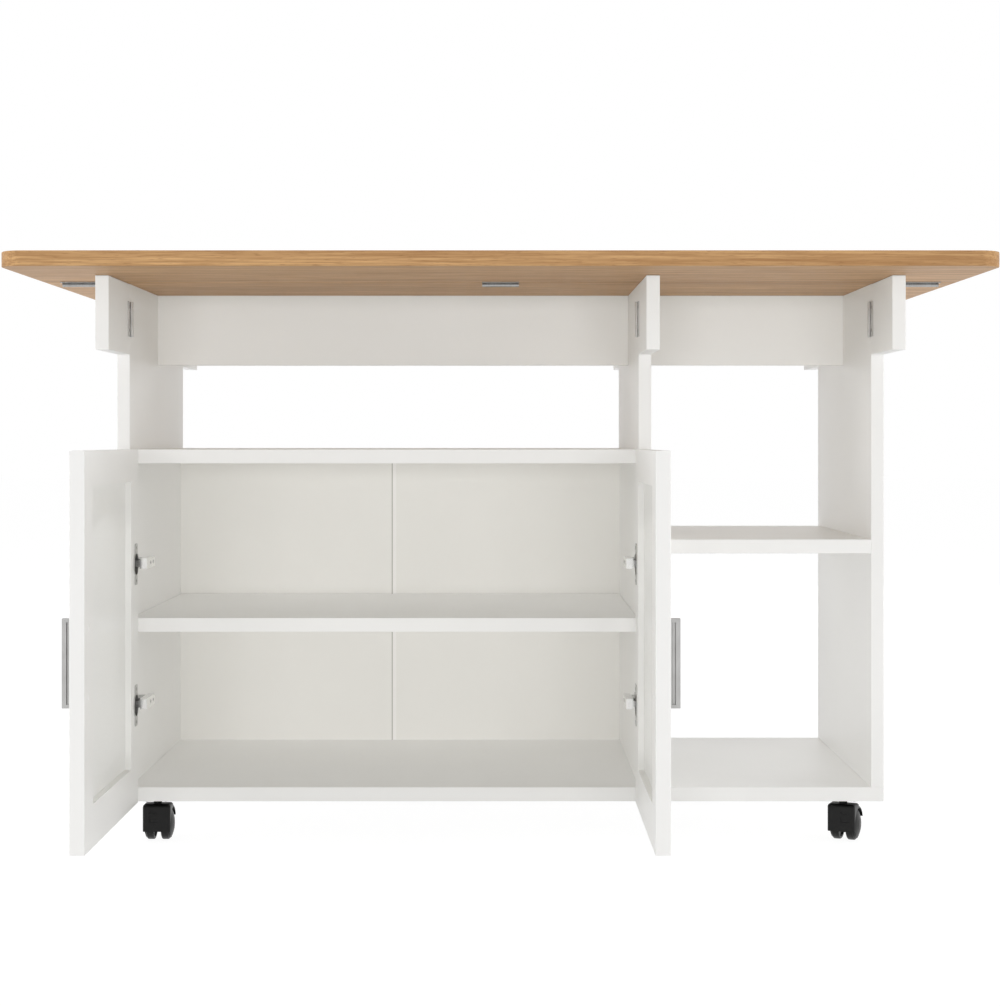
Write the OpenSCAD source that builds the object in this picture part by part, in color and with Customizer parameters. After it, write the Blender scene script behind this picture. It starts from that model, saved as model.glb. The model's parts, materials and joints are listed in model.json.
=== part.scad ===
// Drop leaf kitchen island: a rolling cabinet with two fluted glass doors, an open bay,
// and a worktop whose front and rear leaves stand on six swing-out supports.
// X runs along the island, -Y is the front, +Z is up and the floor is at z = 0.
// It is drawn as it stands in use: leaves raised, supports out, doors open at a right angle.

/* [Worktop] */
// How far the worktop stands out past each side panel
end_overhang = 108; // [95:1:150]
// Thickness of the worktop
top_t = 22; // [18:1:32]
// How far the fixed worktop stands out past the body, front and rear
top_overhang = 23; // [8:1:30]
// Depth of each drop leaf
leaf_d = 300; // [240:1:360]
// Gap between the fixed worktop and a leaf
seam_gap = 2; // [1.6:0.1:3]
// Plan radius of the leaves' outer corners
leaf_corner_r = 35; // [10:1:50]

/* [Body] */
// Width over the two side panels
body_w = 1200; // [1100:10:1300]
// Depth of the side panels
body_d = 526; // [460:2:600]
// Height from the underside of the bottom board to the underside of the worktop
body_h = 810; // [740:5:860]
// Thickness of the side panels, the divider and the supports
side_t = 20; // [16:1:25]
// Thickness of the level boards
board_t = 22; // [16:1:25]
// Clear width of the open bay on the right
bay_w = 344; // [280:2:400]

/* [Inside] */
// Top of the cabinet above the underside of the bottom board
cabinet_h = 551; // [500:1:600]
// Top of the shelf in the cabinet above the underside of the bottom board
cabinet_shelf_h = 287; // [265:1:310]
// Top of the shelf in the open bay above the underside of the bottom board
bay_shelf_h = 410; // [300:1:520]
// Depth of the shelf in the open bay
bay_shelf_d = 503; // [400:1:520]
// Setback of the cabinet shelf's front edge
shelf_setback = 2; // [1:0.5:10]
// Clearance at each end of the cabinet shelf
shelf_clear = 0.5; // [0.3:0.1:0.9]
// Height of the aprons under the worktop
apron_h = 118; // [90:1:160]
// Thickness of the aprons
apron_t = 15; // [12:1:25]

/* [Back] */
// From the rear edge of the body to the front face of the back panels
back_inset = 27; // [18:1:50]
// Thickness of the back panels
back_t = 4; // [3:0.5:6]
// Width of the right back panel between the divider and the seam
back_seam = 409; // [300:1:520]
// Depth of the grooves that hold the back panels
groove_depth = 6; // [4:0.5:8]
// Clearance of the back panels in their grooves
groove_clear = 0.1; // [0.05:0.05:0.3]
// Width of the joining strip's flanges
strip_w = 8; // [7:0.5:16]
// Thickness of the joining strip's flanges and web
strip_t = 1.2; // [0.8:0.1:2]

/* [Supports] */
// Reach of each support past the body
support_l = 170; // [120:5:230]
// Height of each support
support_h = 110; // [80:2:150]
// Clearance over a support and behind it
support_clear = 0.5; // [0.3:0.1:0.9]
// Height of the hinge on a support
support_hinge_h = 55; // [40:1:70]
// Width of one leaf of a support's hinge
support_hinge_w = 18.5; // [14:0.5:30]

/* [Butt hinges] */
// Outer radius of the knuckles at the supports
knuckle_r = 2.6; // [2.4:0.1:4]
// Outer radius of the knuckles under the worktop
top_knuckle_r = 3.2; // [2.4:0.1:4]
// Radius of the hinge pins
hinge_pin_r = 1.4; // [1:0.1:1.8]
// Radial clearance of a pin in its knuckles
pin_clear = 0.05; // [0.02:0.01:0.1]
// Thickness of the hinge leaves
hinge_t = 1.5; // [1:0.1:2]
// Clearance between the knuckles and the board they lie on
knuckle_clear = 0.3; // [0.2:0.05:0.6]
// Clearance between neighbouring knuckles
knuckle_gap = 0.3; // [0.2:0.05:0.6]
// Length of a hinge under the worktop
top_hinge_l = 57; // [45:1:66]
// Width of one leaf of a hinge under the worktop
top_hinge_w = 20; // [14:1:35]
// From the end of the worktop to its outer hinges
top_hinge_inset = 28; // [6:1:35]

/* [Doors] */
// Thickness of the doors
door_t = 21; // [19:0.5:25]
// Gap between the closed doors
door_gap = 3; // [2:0.5:6]
// Overlap of the closed left door on the side panel
door_overlap = 6; // [4:0.5:14]
// Overlap of the closed right door on the divider panel
divider_overlap = 15; // [8:0.5:18]
// Gap between a closed door and the body
door_set = 3; // [3:0.5:5]
// Opening angle at which the doors are drawn
door_open = 90; // [60:5:95]
// Radius of the doors' upright edges
door_edge_r = 1.5; // [1:0.1:3]
// Width of the stiles on the inner face
stile_w = 60; // [50:1:80]
// Height of the top rail on the inner face
top_rail_h = 49; // [40:1:70]
// Height of the bottom rail on the inner face
bottom_rail_h = 60; // [45:1:90]
// How far the front lip stands in over the glass
lip_w = 26; // [12:1:40]
// Thickness of the front lip
lip_t = 8; // [6:0.5:10]
// Height of the arch from its springing to its crown
arch_rise = 55; // [45:1:80]
// Radius of the arch's shoulders
arch_shoulder_r = 35; // [20:1:40]
// From the top of the glass recess down to the crown of the arch
arch_drop = 46; // [20:1:90]
// Thickness of the door glass
glass_t = 4; // [3:0.5:5]
// Clearance round the edge of the door glass
glass_clear = 0.5; // [0.3:0.1:0.9]

/* [Door hinges] */
// Radius of the hinge cups
cup_r = 17.5; // [17:0.5:18]
// Depth of the hinge cups
cup_depth = 14.6; // [14.2:0.1:15.5]
// Wall of the hinge cups
cup_wall = 1; // [0.8:0.1:1.2]
// Clearance of a cup in its bore
cup_clear = 0.1; // [0.05:0.05:0.2]
// From the door's edge to the centre of a cup
cup_inset = 22; // [21.5:0.5:24]
// From the door's edge to the pivot
pivot_inset = 9; // [8.5:0.25:9.5]
// From the door's inner face to the pivot
pivot_depth = 11; // [10.5:0.25:11.25]
// Radius of the pivot pin
pivot_pin_r = 1.25; // [1:0.05:1.4]
// Radius of the eye round the pivot pin
pivot_eye_r = 2.3; // [2:0.05:2.4]
// Height of that eye
pivot_eye_h = 10; // [6:0.5:10]
// Height of the flange wings
flange_h = 64; // [50:1:70]
// Width of the flange wings
flange_w = 20; // [16:1:26]
// Thickness of the flange
flange_t = 1.2; // [1:0.1:1.5]
// Height of the hinge arms
arm_h = 16; // [12:0.5:17]
// Width of the hinge arms across the opening
arm_w = 11; // [8:0.5:11.5]
// From the pivot to the near side of the arm
arm_reach = 15; // [14.8:0.1:15.5]
// Length of an arm inside the cabinet
arm_l = 58; // [45:1:75]
// Sheet thickness of the arms
arm_t = 1.6; // [1.2:0.1:2]
// Thickness of the neck that joins arm and eye
neck_t = 2; // [1.6:0.1:2.4]
// Height of the mounting plates' wings
plate_h = 52; // [40:1:60]
// Thickness of the mounting plates
plate_t = 2.5; // [2:0.1:3]
// Centre of the lower hinge above the door's lower edge
hinge_low = 154; // [90:1:190]
// Centre of the upper hinge below the door's upper edge
hinge_high = 178; // [90:1:200]

/* [Handles] */
// Length of the handles
handle_l = 123; // [90:1:180]
// Width of the handles on the door
handle_w = 14; // [10:0.5:20]
// How far the handles stand out
handle_out = 15; // [12:0.5:24]
// From the door's free edge to the middle of the handle
handle_inset = 29; // [18:1:50]
// Centre of the handle above the door's lower edge
handle_z = 259; // [200:1:350]
// Edge radius of the handles
handle_edge_r = 2; // [1:0.25:3]
// Depth of the finger grooves in the handles
finger_depth = 4; // [2:0.5:4.5]
// Width of the finger grooves
finger_w = 5; // [3:0.5:6]
// From the door to the finger grooves
finger_base = 3.5; // [2.5:0.5:5]
// Length of the solid ends of the handles
handle_end = 5; // [3:0.5:12]

/* [Casters] */
// Height of the casters
caster_h = 68; // [66:1:80]
// Radius of the caster wheels
wheel_r = 25; // [23:0.5:26]
// From the middle of a caster to the crown of a wheel's outer face
wheel_out = 24; // [22:0.5:27]
// Height of the domed outer face
wheel_dome = 5; // [2:0.5:6]
// Edge radius of the tread
tread_edge_r = 3; // [1:0.25:4]
// Radius of the axles
axle_r = 3; // [2.5:0.1:3.5]
// Half thickness of the web between the wheels
web_half = 5; // [4:0.1:5.5]
// Clearance beside and over the wheels
wheel_clear = 0.9; // [0.5:0.1:1.5]
// From the underside of the body to the flat top of the hoods
hood_drop = 8.5; // [6:0.5:10]
// Radius of the hood's upper edges, front and rear
hood_edge_r = 6; // [2:0.5:8]
// Radius of the hood's upper edges at its sides
hood_side_r = 5; // [2:0.5:8]
// Thickness of the hood over the wheels
hood_t = 2.6; // [2:0.1:3.5]
// Half width of the hood
hood_half = 22; // [18:0.5:23]
// Lowest edge of the hood above the floor
hood_low = 16.5; // [12:0.5:22]
// From the axle to where the hood is cut open behind the wheels
hood_open = 9; // [6:0.5:14]
// Width of the two small recesses in the front of a hood
recess_w = 11; // [8:1:16]
// Lower edge of the lower recess above the floor
recess_z = 31.5; // [28:0.5:34]
// Height of the lower recess
recess_low_h = 7.5; // [4:0.5:9]
// Height of the bar between the recesses
recess_bar_h = 5.5; // [3:0.5:7]
// Height of the upper recess
recess_high_h = 4.5; // [3:0.5:6]
// Depth of the recesses
recess_depth = 1.4; // [0.6:0.1:1.6]
// Middle of the recesses from the middle of the hood, towards the outer side
recess_shift = 5.5; // [0:0.5:7]
// Distance from the swivel axis to the axle
trail = 14; // [10:0.5:18]
// Radius of the hood's neck
hood_neck_r = 6.5; // [6:0.25:8]
// Radius of the king pins
king_pin_r = 4; // [3:0.25:5]
// Running clearance of axles and king pins
run_clear = 0.05; // [0.02:0.01:0.1]
// Side of the square caster plates
caster_plate_w = 40; // [34:1:50]
// Thickness of the caster plates
caster_plate_t = 2.5; // [2:0.5:4]
// Swivel axis from the side of the body
caster_inset_x = 58; // [50:1:90]
// Swivel axis from the front or rear of the body
caster_inset_y = 34; // [30:1:80]
// Turn of the front right caster
caster_turn = -24; // [-60:1:60]

/* [Shelf pins] */
// Radius of the shelf pins
shelf_pin_r = 2.5; // [2:0.25:4]
// Length of a shelf pin in the board
shelf_pin_in = 8; // [5:0.5:12]
// Length of a shelf pin under the shelf
shelf_pin_out = 9; // [6:0.5:12]
// Shelf pins from the front and rear of the shelf
shelf_pin_inset = 60; // [40:1:120]

/* [Hidden] */
$fn = 48;
eps = 0.01;

WHITE = "#EFEDE8";
PANEL = "#E2DFD9";
OAK = "#C9A06C";
NICKEL = "#B7B7B5";
STEEL = "#C9C9CB";
NYLON = "#262624";
GLASS = "#CDD6D6";

// Levels above the floor
body_z = caster_h;
panel_z = body_z + board_t;
under_z = body_z + body_h;
cabinet_z = body_z + cabinet_h;
cabinet_shelf_z = body_z + cabinet_shelf_h;
bay_shelf_z = body_z + bay_shelf_h;

// Places along X
left_in = side_t - body_w / 2;
right_in = body_w / 2 - side_t;
divider_r = right_in - bay_w;
divider_l = divider_r - side_t;
cabinet_w = divider_l - left_in;
door_w = (cabinet_w + door_overlap + divider_overlap - door_gap) / 2;

// The origin stands under the middle of the whole island as it is drawn, so the body is
// moved back by half of what the open doors reach further than the rear leaf.
door_edge_set = door_set + pivot_depth - pivot_inset;
front_reach = body_d / 2 + door_edge_set + door_w;
rear_reach = body_d / 2 + top_overhang + seam_gap + leaf_d;
body_y = (front_reach - rear_reach) / 2;
front_y = body_y - body_d / 2;
rear_y = body_y + body_d / 2;
back_y = rear_y - back_inset;
back_seam_x = divider_l - back_seam;
// Front face of the joining strip
strip_y = back_y - groove_clear - strip_t;

// Butt hinges: the pins stand off the boards by this much
hinge_off = knuckle_r + knuckle_clear;
top_hinge_off = top_knuckle_r + knuckle_clear;
seam_y = top_overhang + seam_gap / 2;
top_w = body_w + 2 * end_overhang;
top_hinge_x = top_w / 2 - top_hinge_inset - top_hinge_l / 2;
support_z = under_z - support_clear - support_h;

// Doors
left_edge_x = left_in - door_overlap;
right_edge_x = left_edge_x + 2 * door_w + door_gap;
door_h = cabinet_h;
glass_w = door_w - 2 * stile_w;
glass_h = door_h - top_rail_h - bottom_rail_h;
recess_t = door_t - lip_t;
lip_half = glass_w / 2 - lip_w;
arch_top_z = bottom_rail_h + glass_h - arch_drop;
hinge_heights = [hinge_low, door_h - hinge_high];

// Casters
axle_z = wheel_r;
web_clear = 0.5;
wheel_in = web_half + web_clear;
pocket_r = wheel_r + wheel_clear;
hood_r = pocket_r + hood_t;
hood_lip = 0.5;
hood_front = hood_r - trail + hood_lip;
hood_top = body_z - hood_drop;
bearing_t = 1.6;
bearing_gap = 0.4;
bearing_rim = 3;
king_pin_gap = 1;
plate_z = body_z - caster_plate_t;
neck_z = plate_z - bearing_t - bearing_gap;
// Sides of the body as [x side, y side, turn about the swivel axis]
FRONT_LEFT = [-1, -1, 0];
FRONT_RIGHT = [1, -1, caster_turn];
REAR_LEFT = [-1, 1, 160];
REAR_RIGHT = [1, 1, 205];

// Box from its low and high corners
module span(low, high) {
    translate(low) cube(high - low);
}

// Rectangle with round corners, made of true arcs
module round_rect(low, high, r) {
    translate([low.x + r, low.y]) square([high.x - low.x - 2 * r, high.y - low.y]);
    translate([low.x, low.y + r]) square([high.x - low.x, high.y - low.y - 2 * r]);
    for (x = [low.x + r, high.x - r], y = [low.y + r, high.y - r])
        translate([x, y]) circle(r);
}

// ---- Worktop ----

module worktop_centre() {
    color(OAK)
        span([-top_w / 2, front_y - top_overhang, under_z],
            [top_w / 2, rear_y + top_overhang, under_z + top_t]);
}

// Leaf in front of the body; side 1 mirrors it to the rear
module leaf_board() {
    low_y = front_y - top_overhang - seam_gap - leaf_d;
    high_y = front_y - top_overhang - seam_gap;
    color(OAK)
        translate([0, 0, under_z])
            linear_extrude(top_t) {
                round_rect([-top_w / 2, low_y], [top_w / 2, high_y], leaf_corner_r);
                translate([-top_w / 2, low_y + leaf_d / 2]) square([top_w, leaf_d / 2]);
            }
}

module to_rear() {
    translate([0, body_y, 0]) mirror([0, 1, 0]) translate([0, -body_y, 0]) children();
}

module front_leaf() { leaf_board(); }
module rear_leaf() { to_rear() leaf_board(); }

// ---- Body ----

// Grooves that the back panels stand in, cut from the face at x towards the side dir
module back_groove(x, dir) {
    span([min(x, x + dir * groove_depth), back_y - groove_clear, panel_z - groove_depth],
        [max(x, x + dir * groove_depth), back_y + back_t + groove_clear,
            cabinet_z - board_t + groove_depth]);
}

// Holes for the shelf pins, or the pins themselves, in the face at x
module at_shelf_pins(x) {
    for (y = [front_y + shelf_setback + shelf_pin_inset, back_y - shelf_pin_inset])
        translate([x, y, cabinet_shelf_z - board_t - shelf_pin_r]) rotate([0, 90, 0]) children();
}

module left_side_panel() {
    color(WHITE) difference() {
        span([-body_w / 2, front_y, panel_z], [left_in, rear_y, under_z]);
        back_groove(left_in, -1);
        at_shelf_pins(left_in - shelf_pin_in)
            cylinder(r = shelf_pin_r + groove_clear, h = shelf_pin_in + 1);
    }
}

module right_side_panel() {
    color(WHITE)
        span([right_in, front_y, panel_z], [body_w / 2, rear_y, under_z]);
}

module divider_panel() {
    color(WHITE) difference() {
        span([divider_l, front_y, panel_z], [divider_r, rear_y, under_z]);
        back_groove(divider_l, 1);
        at_shelf_pins(divider_l - 1)
            cylinder(r = shelf_pin_r + groove_clear, h = shelf_pin_in + 1);
    }
}

module apron(x0, x1) {
    color(WHITE)
        span([x0, body_y - apron_t / 2, under_z - apron_h], [x1, body_y + apron_t / 2, under_z]);
}

module left_apron() { apron(left_in, divider_l); }
module right_apron() { apron(divider_r, right_in); }

// Groove along a level board, with its open side at z and its floor towards dir
module board_groove(z, dir) {
    span([left_in - groove_depth, back_y - groove_clear, min(z, z + dir * groove_depth)],
        [divider_l + groove_depth, back_y + back_t + groove_clear,
            max(z, z + dir * groove_depth)]);
}

module bottom_board() {
    color(WHITE) difference() {
        span([-body_w / 2, front_y, body_z], [body_w / 2, rear_y, panel_z]);
        board_groove(panel_z, -1);
    }
}

module cabinet_top_board() {
    color(WHITE) difference() {
        span([left_in, front_y, cabinet_z - board_t], [divider_l, rear_y, cabinet_z]);
        board_groove(cabinet_z - board_t, 1);
    }
}

module cabinet_shelf() {
    color(WHITE)
        span([left_in + shelf_clear, front_y + shelf_setback, cabinet_shelf_z - board_t],
            [divider_l - shelf_clear, strip_y - shelf_clear, cabinet_shelf_z]);
}

module open_bay_shelf() {
    color(WHITE)
        span([divider_r, front_y, bay_shelf_z - board_t],
            [right_in, front_y + bay_shelf_d, bay_shelf_z]);
}

// Back panels reach into the grooves, less a clearance at the groove's floor
module back_panel(x0, x1) {
    reach = groove_depth - 1;
    color(PANEL)
        span([x0, back_y, panel_z - reach], [x1, back_y + back_t, cabinet_z - board_t + reach]);
}

module left_back_panel() {
    back_panel(left_in - groove_depth + 1, back_seam_x - strip_t / 2 - groove_clear);
}
module right_back_panel() {
    back_panel(back_seam_x + strip_t / 2 + groove_clear, divider_l + groove_depth - 1);
}

// H-shaped strip that holds the two back panels edge to edge
module back_joining_strip() {
    low_z = panel_z + groove_clear;
    high_z = cabinet_z - board_t - groove_clear;
    color(PANEL) {
        for (y = [strip_y, back_y + back_t + groove_clear])
            span([back_seam_x - strip_w / 2, y, low_z],
                [back_seam_x + strip_w / 2, y + strip_t, high_z]);
        span([back_seam_x - strip_t / 2, back_y - groove_clear - eps, low_z],
            [back_seam_x + strip_t / 2, back_y + back_t + groove_clear + eps, high_z]);
    }
}

module shelf_pins() {
    color(NICKEL) {
        at_shelf_pins(left_in - shelf_pin_in)
            cylinder(r = shelf_pin_r, h = shelf_pin_in + shelf_pin_out);
        at_shelf_pins(divider_l - shelf_pin_out)
            cylinder(r = shelf_pin_r, h = shelf_pin_in + shelf_pin_out);
    }
}

// ---- Butt hinges ----
// Each hinge has five knuckles of radius r round a pin along local Z. The board's face is
// the plane x = -off, and the leaf drawn here lies on it towards +Y.

KNUCKLES = 5;

module knuckle_span(length, k) {
    pitch = length / KNUCKLES;
    translate([0, 0, -length / 2 + k * pitch + knuckle_gap / 2])
        linear_extrude(pitch - knuckle_gap) children();
}

module hinge_leaf(length, width, r, first) {
    off = r + knuckle_clear;
    translate([-off, off, -length / 2]) cube([hinge_t, width - off, length]);
    for (k = [first : 2 : KNUCKLES - 1])
        knuckle_span(length, k) difference() {
            union() {
                circle(r);
                translate([-off, 0]) square([hinge_t, off + eps]);
                translate([-off, 0]) square([off, r * 0.6]);
            }
            circle(hinge_pin_r + pin_clear);
        }
}

module hinge_pin(length) {
    cylinder(r = hinge_pin_r, h = length, center = true);
}

// Places of the six supports as [x of the board's inner face, x side of the cavity, y side]
function support_place(name) =
    name == "front_left" ? [left_in, 1, -1] :
    name == "front_centre" ? [divider_l, -1, -1] :
    name == "front_right" ? [right_in, -1, -1] :
    name == "rear_left" ? [left_in, 1, 1] :
    name == "rear_centre" ? [divider_l, -1, 1] : [right_in, -1, 1];
SUPPORTS = ["front_left", "front_centre", "front_right",
    "rear_left", "rear_centre", "rear_right"];

// Local frame of a support's hinge: +X into the cavity, +Y from the pin into the body
module at_support_hinge(name) {
    place = support_place(name);
    translate([place.x, body_y, support_z + support_h / 2])
        scale_sides(place.y, -place.z)
            translate([hinge_off, -body_d / 2 - support_clear / 2, 0]) children();
}

// Mirror in X where sx is -1 and in Y where sy is -1
module scale_sides(sx, sy) {
    mirror([sx < 0 ? 1 : 0, 0, 0]) mirror([0, sy < 0 ? 1 : 0, 0]) children();
}

module support(name) {
    color(WHITE)
        at_support_hinge(name)
            span([-hinge_off - side_t, -support_clear / 2 - support_l, -support_h / 2],
                [-hinge_off, -support_clear / 2, support_h / 2]);
}

module support_hinge(name) {
    color(NICKEL)
        at_support_hinge(name) mirror([0, 1, 0])
            hinge_leaf(support_hinge_h, support_hinge_w, knuckle_r, 1);
}

module support_hinge_fixed_leaves() {
    color(NICKEL)
        for (name = SUPPORTS) at_support_hinge(name) {
            hinge_leaf(support_hinge_h, support_hinge_w, knuckle_r, 0);
            hinge_pin(support_hinge_h);
        }
}

module front_left_support() { support("front_left"); }
module front_centre_support() { support("front_centre"); }
module front_right_support() { support("front_right"); }
module rear_left_support() { support("rear_left"); }
module rear_centre_support() { support("rear_centre"); }
module rear_right_support() { support("rear_right"); }
module front_left_support_hinge() { support_hinge("front_left"); }
module front_centre_support_hinge() { support_hinge("front_centre"); }
module front_right_support_hinge() { support_hinge("front_right"); }
module rear_left_support_hinge() { support_hinge("rear_left"); }
module rear_centre_support_hinge() { support_hinge("rear_centre"); }
module rear_right_support_hinge() { support_hinge("rear_right"); }

// Hinges of the front leaf: the pin along X, local +X down, local +Y towards the body
module at_top_hinges() {
    for (x = [-top_hinge_x, 0, top_hinge_x])
        translate([x, front_y - seam_y, under_z - top_hinge_off])
            rotate([0, 90, 0]) children();
}

module moving_leaf_hinges() {
    at_top_hinges() mirror([0, 1, 0])
        hinge_leaf(top_hinge_l, top_hinge_w, top_knuckle_r, 1);
}

module fixed_leaf_hinges() {
    at_top_hinges() {
        hinge_leaf(top_hinge_l, top_hinge_w, top_knuckle_r, 0);
        hinge_pin(top_hinge_l);
    }
}

module front_leaf_hinge_leaves() { color(NICKEL) moving_leaf_hinges(); }
module rear_leaf_hinge_leaves() { color(NICKEL) to_rear() moving_leaf_hinges(); }
module worktop_hinge_fixed_leaves() {
    color(NICKEL) {
        fixed_leaf_hinges();
        to_rear() fixed_leaf_hinges();
    }
}

// ---- Doors ----
// A door is drawn closed, with local x from its hinged edge, y = 0 at its inner face and
// -y outwards, and z from its lower edge.

// Places what is fixed to the cabinet beside a door's hinged edge
module at_door_edge(side) {
    x = side == "left" ? left_edge_x : right_edge_x;
    translate([x, front_y - door_set, body_z])
        mirror([side == "left" ? 0 : 1, 0, 0]) children();
}

// Places what moves with the door
module at_door(side) {
    at_door_edge(side)
        translate([pivot_inset, -pivot_depth, 0]) rotate([0, 0, -door_open])
            translate([-pivot_inset, pivot_depth, 0]) children();
}

// Points on an arc, with the ends left out where skip is 1
function arc(centre, r, from, to, steps, skip = 0) =
    [for (i = [skip : steps - skip]) let(a = from + (to - from) * i / steps)
        centre + r * [cos(a), sin(a)]];

// Three-centred arch over a rectangle: one wide arc that runs smoothly into two shoulder arcs
module arched_window() {
    shoulder_x = lip_half - arch_shoulder_r;
    wide_r = (pow(shoulder_x, 2) + pow(arch_rise, 2) - pow(arch_shoulder_r, 2))
        / (2 * (arch_rise - arch_shoulder_r));
    spring_z = arch_top_z - arch_rise;
    lean = atan2(shoulder_x, wide_r - arch_rise);
    low_z = bottom_rail_h + lip_w;
    polygon(concat(
        [[-lip_half, low_z], [lip_half, low_z]],
        arc([shoulder_x, spring_z], arch_shoulder_r, 0, 90 - lean, 12),
        arc([0, arch_top_z - wide_r], wide_r, 90 - lean, 90 + lean, 30, 1),
        arc([-shoulder_x, spring_z], arch_shoulder_r, 90 + lean, 180, 12)));
}

// Front view outline to a slab between the depths y0 and y1 from the inner face
module door_slab(y0, y1) {
    translate([door_w / 2, -y0, 0]) rotate([90, 0, 0]) linear_extrude(y1 - y0) children();
}

module at_cups() {
    for (z = hinge_heights) translate([cup_inset, 0, z]) rotate([90, 0, 0]) children();
}

module door_frame(side) {
    color(WHITE) at_door(side) difference() {
        linear_extrude(door_h) round_rect([0, -door_t], [door_w, 0], door_edge_r);
        door_slab(-1, recess_t)
            translate([-glass_w / 2, bottom_rail_h]) square([glass_w, glass_h]);
        door_slab(recess_t - 1, door_t + 1) arched_window();
        at_cups() translate([0, 0, -1])
            cylinder(r = cup_r + cup_clear, h = cup_depth + cup_clear + 1);
    }
}

module left_door_frame() { door_frame("left"); }
module right_door_frame() { door_frame("right"); }

module door_glass(side) {
    color(GLASS) at_door(side)
        door_slab(recess_t - glass_t, recess_t)
            translate([-glass_w / 2 + glass_clear, bottom_rail_h + glass_clear])
                square([glass_w - 2 * glass_clear, glass_h - 2 * glass_clear]);
}

module left_door_glass() { door_glass("left"); }
module right_door_glass() { door_glass("right"); }

// Solid bar pull with a finger groove down each side
module door_handle(side) {
    color(NICKEL) at_door(side)
        translate([door_w - handle_inset, -door_t, handle_z - handle_l / 2]) difference() {
            linear_extrude(handle_l) {
                round_rect([-handle_w / 2, -handle_out], [handle_w / 2, 0], handle_edge_r);
                translate([-handle_w / 2, -handle_out / 2]) square([handle_w, handle_out / 2]);
            }
            for (way = [-1, 1])
                translate([way * handle_w / 2, 0, handle_end])
                    linear_extrude(handle_l - 2 * handle_end)
                        round_rect([-finger_depth, -finger_base - finger_w],
                            [finger_depth, -finger_base], finger_w / 4);
        }
}

module left_door_handle() { door_handle("left"); }
module right_door_handle() { door_handle("right"); }

// Cup with its flange and the pivot pin across it. Local z runs from the inner face
// into the door, local x away from the hinged edge.
module hinge_cup() {
    pivot_x = pivot_inset - cup_inset;
    pin_half = sqrt(pow(cup_r - cup_wall, 2) - pow(abs(pivot_x) + pivot_pin_r, 2)) - run_clear;
    difference() {
        union() {
            cylinder(r = cup_r, h = cup_depth);
            translate([0, 0, -flange_t]) linear_extrude(flange_t) {
                round_rect([-flange_w / 2, -flange_h / 2], [flange_w / 2, flange_h / 2], 4);
                circle(cup_r + 1.5);
            }
        }
        translate([0, 0, -flange_t - 1])
            cylinder(r = cup_r - cup_wall, h = cup_depth - cup_wall + flange_t + 1);
    }
    translate([pivot_x, 0, pivot_depth]) rotate([90, 0, 0])
        cylinder(r = pivot_pin_r, h = 2 * pin_half, center = true);
}

module left_door_hinge_cups() { color(STEEL) at_door("left") at_cups() hinge_cup(); }
module right_door_hinge_cups() { color(STEEL) at_door("right") at_cups() hinge_cup(); }

// Arm in plan, seen from above in the closed door's frame
arm_x = pivot_inset + arm_reach;
arm_front_y = -pivot_depth - neck_t / 2;
arm_rear_y = door_set + arm_l;

module hinge_arm() {
    difference() {
        translate([0, 0, -arm_h / 2])
            span([arm_x, arm_front_y, 0], [arm_x + arm_w, arm_rear_y, arm_h]);
        translate([0, 0, -arm_h / 2])
            span([arm_x - 1, arm_front_y + 2 * arm_t, arm_t],
                [arm_x + arm_w - arm_t, arm_rear_y + 1, arm_h - arm_t]);
    }
    translate([0, 0, -pivot_eye_h / 2]) difference() {
        union() {
            span([pivot_inset, -pivot_depth - neck_t / 2, 0],
                [arm_x + eps, -pivot_depth + neck_t / 2, pivot_eye_h]);
            translate([pivot_inset, -pivot_depth, 0]) cylinder(r = pivot_eye_r, h = pivot_eye_h);
        }
        translate([pivot_inset, -pivot_depth, -1])
            cylinder(r = pivot_pin_r + run_clear, h = pivot_eye_h + 2);
    }
}

module door_hinge_arms() {
    color(STEEL)
        for (side = ["left", "right"], z = hinge_heights)
            at_door_edge(side) translate([0, 0, z]) hinge_arm();
}

// Winged plate on the panel, with a block that fills the arm's channel
module hinge_plate(side) {
    face_x = side == "left" ? door_overlap : right_edge_x - divider_l;
    block_h = arm_h - 2 * arm_t - 2 * groove_clear;
    wing_y = door_set + arm_l * 0.6;
    span([face_x, door_set + 8, -flange_w / 2], [face_x + plate_t, arm_rear_y, flange_w / 2]);
    span([face_x, wing_y - 7, -plate_h / 2], [face_x + plate_t, wing_y + 7, plate_h / 2]);
    span([face_x, door_set + 12, -block_h / 2],
        [arm_x + arm_w - arm_t - groove_clear, arm_rear_y - 4, block_h / 2]);
}

module door_hinge_plates() {
    color(STEEL)
        for (side = ["left", "right"], z = hinge_heights)
            at_door_edge(side) translate([0, 0, z]) hinge_plate(side);
}

// ---- Casters ----
// A caster is drawn with its swivel axis on local Z and its axle at y = trail.

module at_caster(place) {
    translate([place.x * (body_w / 2 - caster_inset_x),
        body_y + place.y * (body_d / 2 - caster_inset_y), 0])
        rotate([0, 0, place.z]) children();
}

// Turns a profile drawn as [radius, distance from the middle] about the axle
module about_axle() {
    translate([0, trail, axle_z]) rotate([0, 90, 0]) rotate_extrude($fn = 96) children();
}

// Front part of a hood, with a flat front and top
module hood_block() {
    intersection() {
        translate([-hood_half, 0, 0]) rotate([90, 0, 90]) linear_extrude(2 * hood_half)
            round_rect([-hood_front, hood_low - 2 * hood_edge_r], [trail, hood_top],
                hood_edge_r);
        translate([0, trail + 1, 0]) rotate([90, 0, 0]) linear_extrude(hood_front + trail + 2)
            round_rect([-hood_half, hood_low - 2 * hood_side_r], [hood_half, hood_top],
                hood_side_r);
    }
}

// Recess in the hood's front from its lower edge and height
module hood_recess(z, h) {
    span([-recess_w / 2, -hood_front - 1, z],
        [recess_w / 2, recess_depth - hood_front, z + h]);
}

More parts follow.
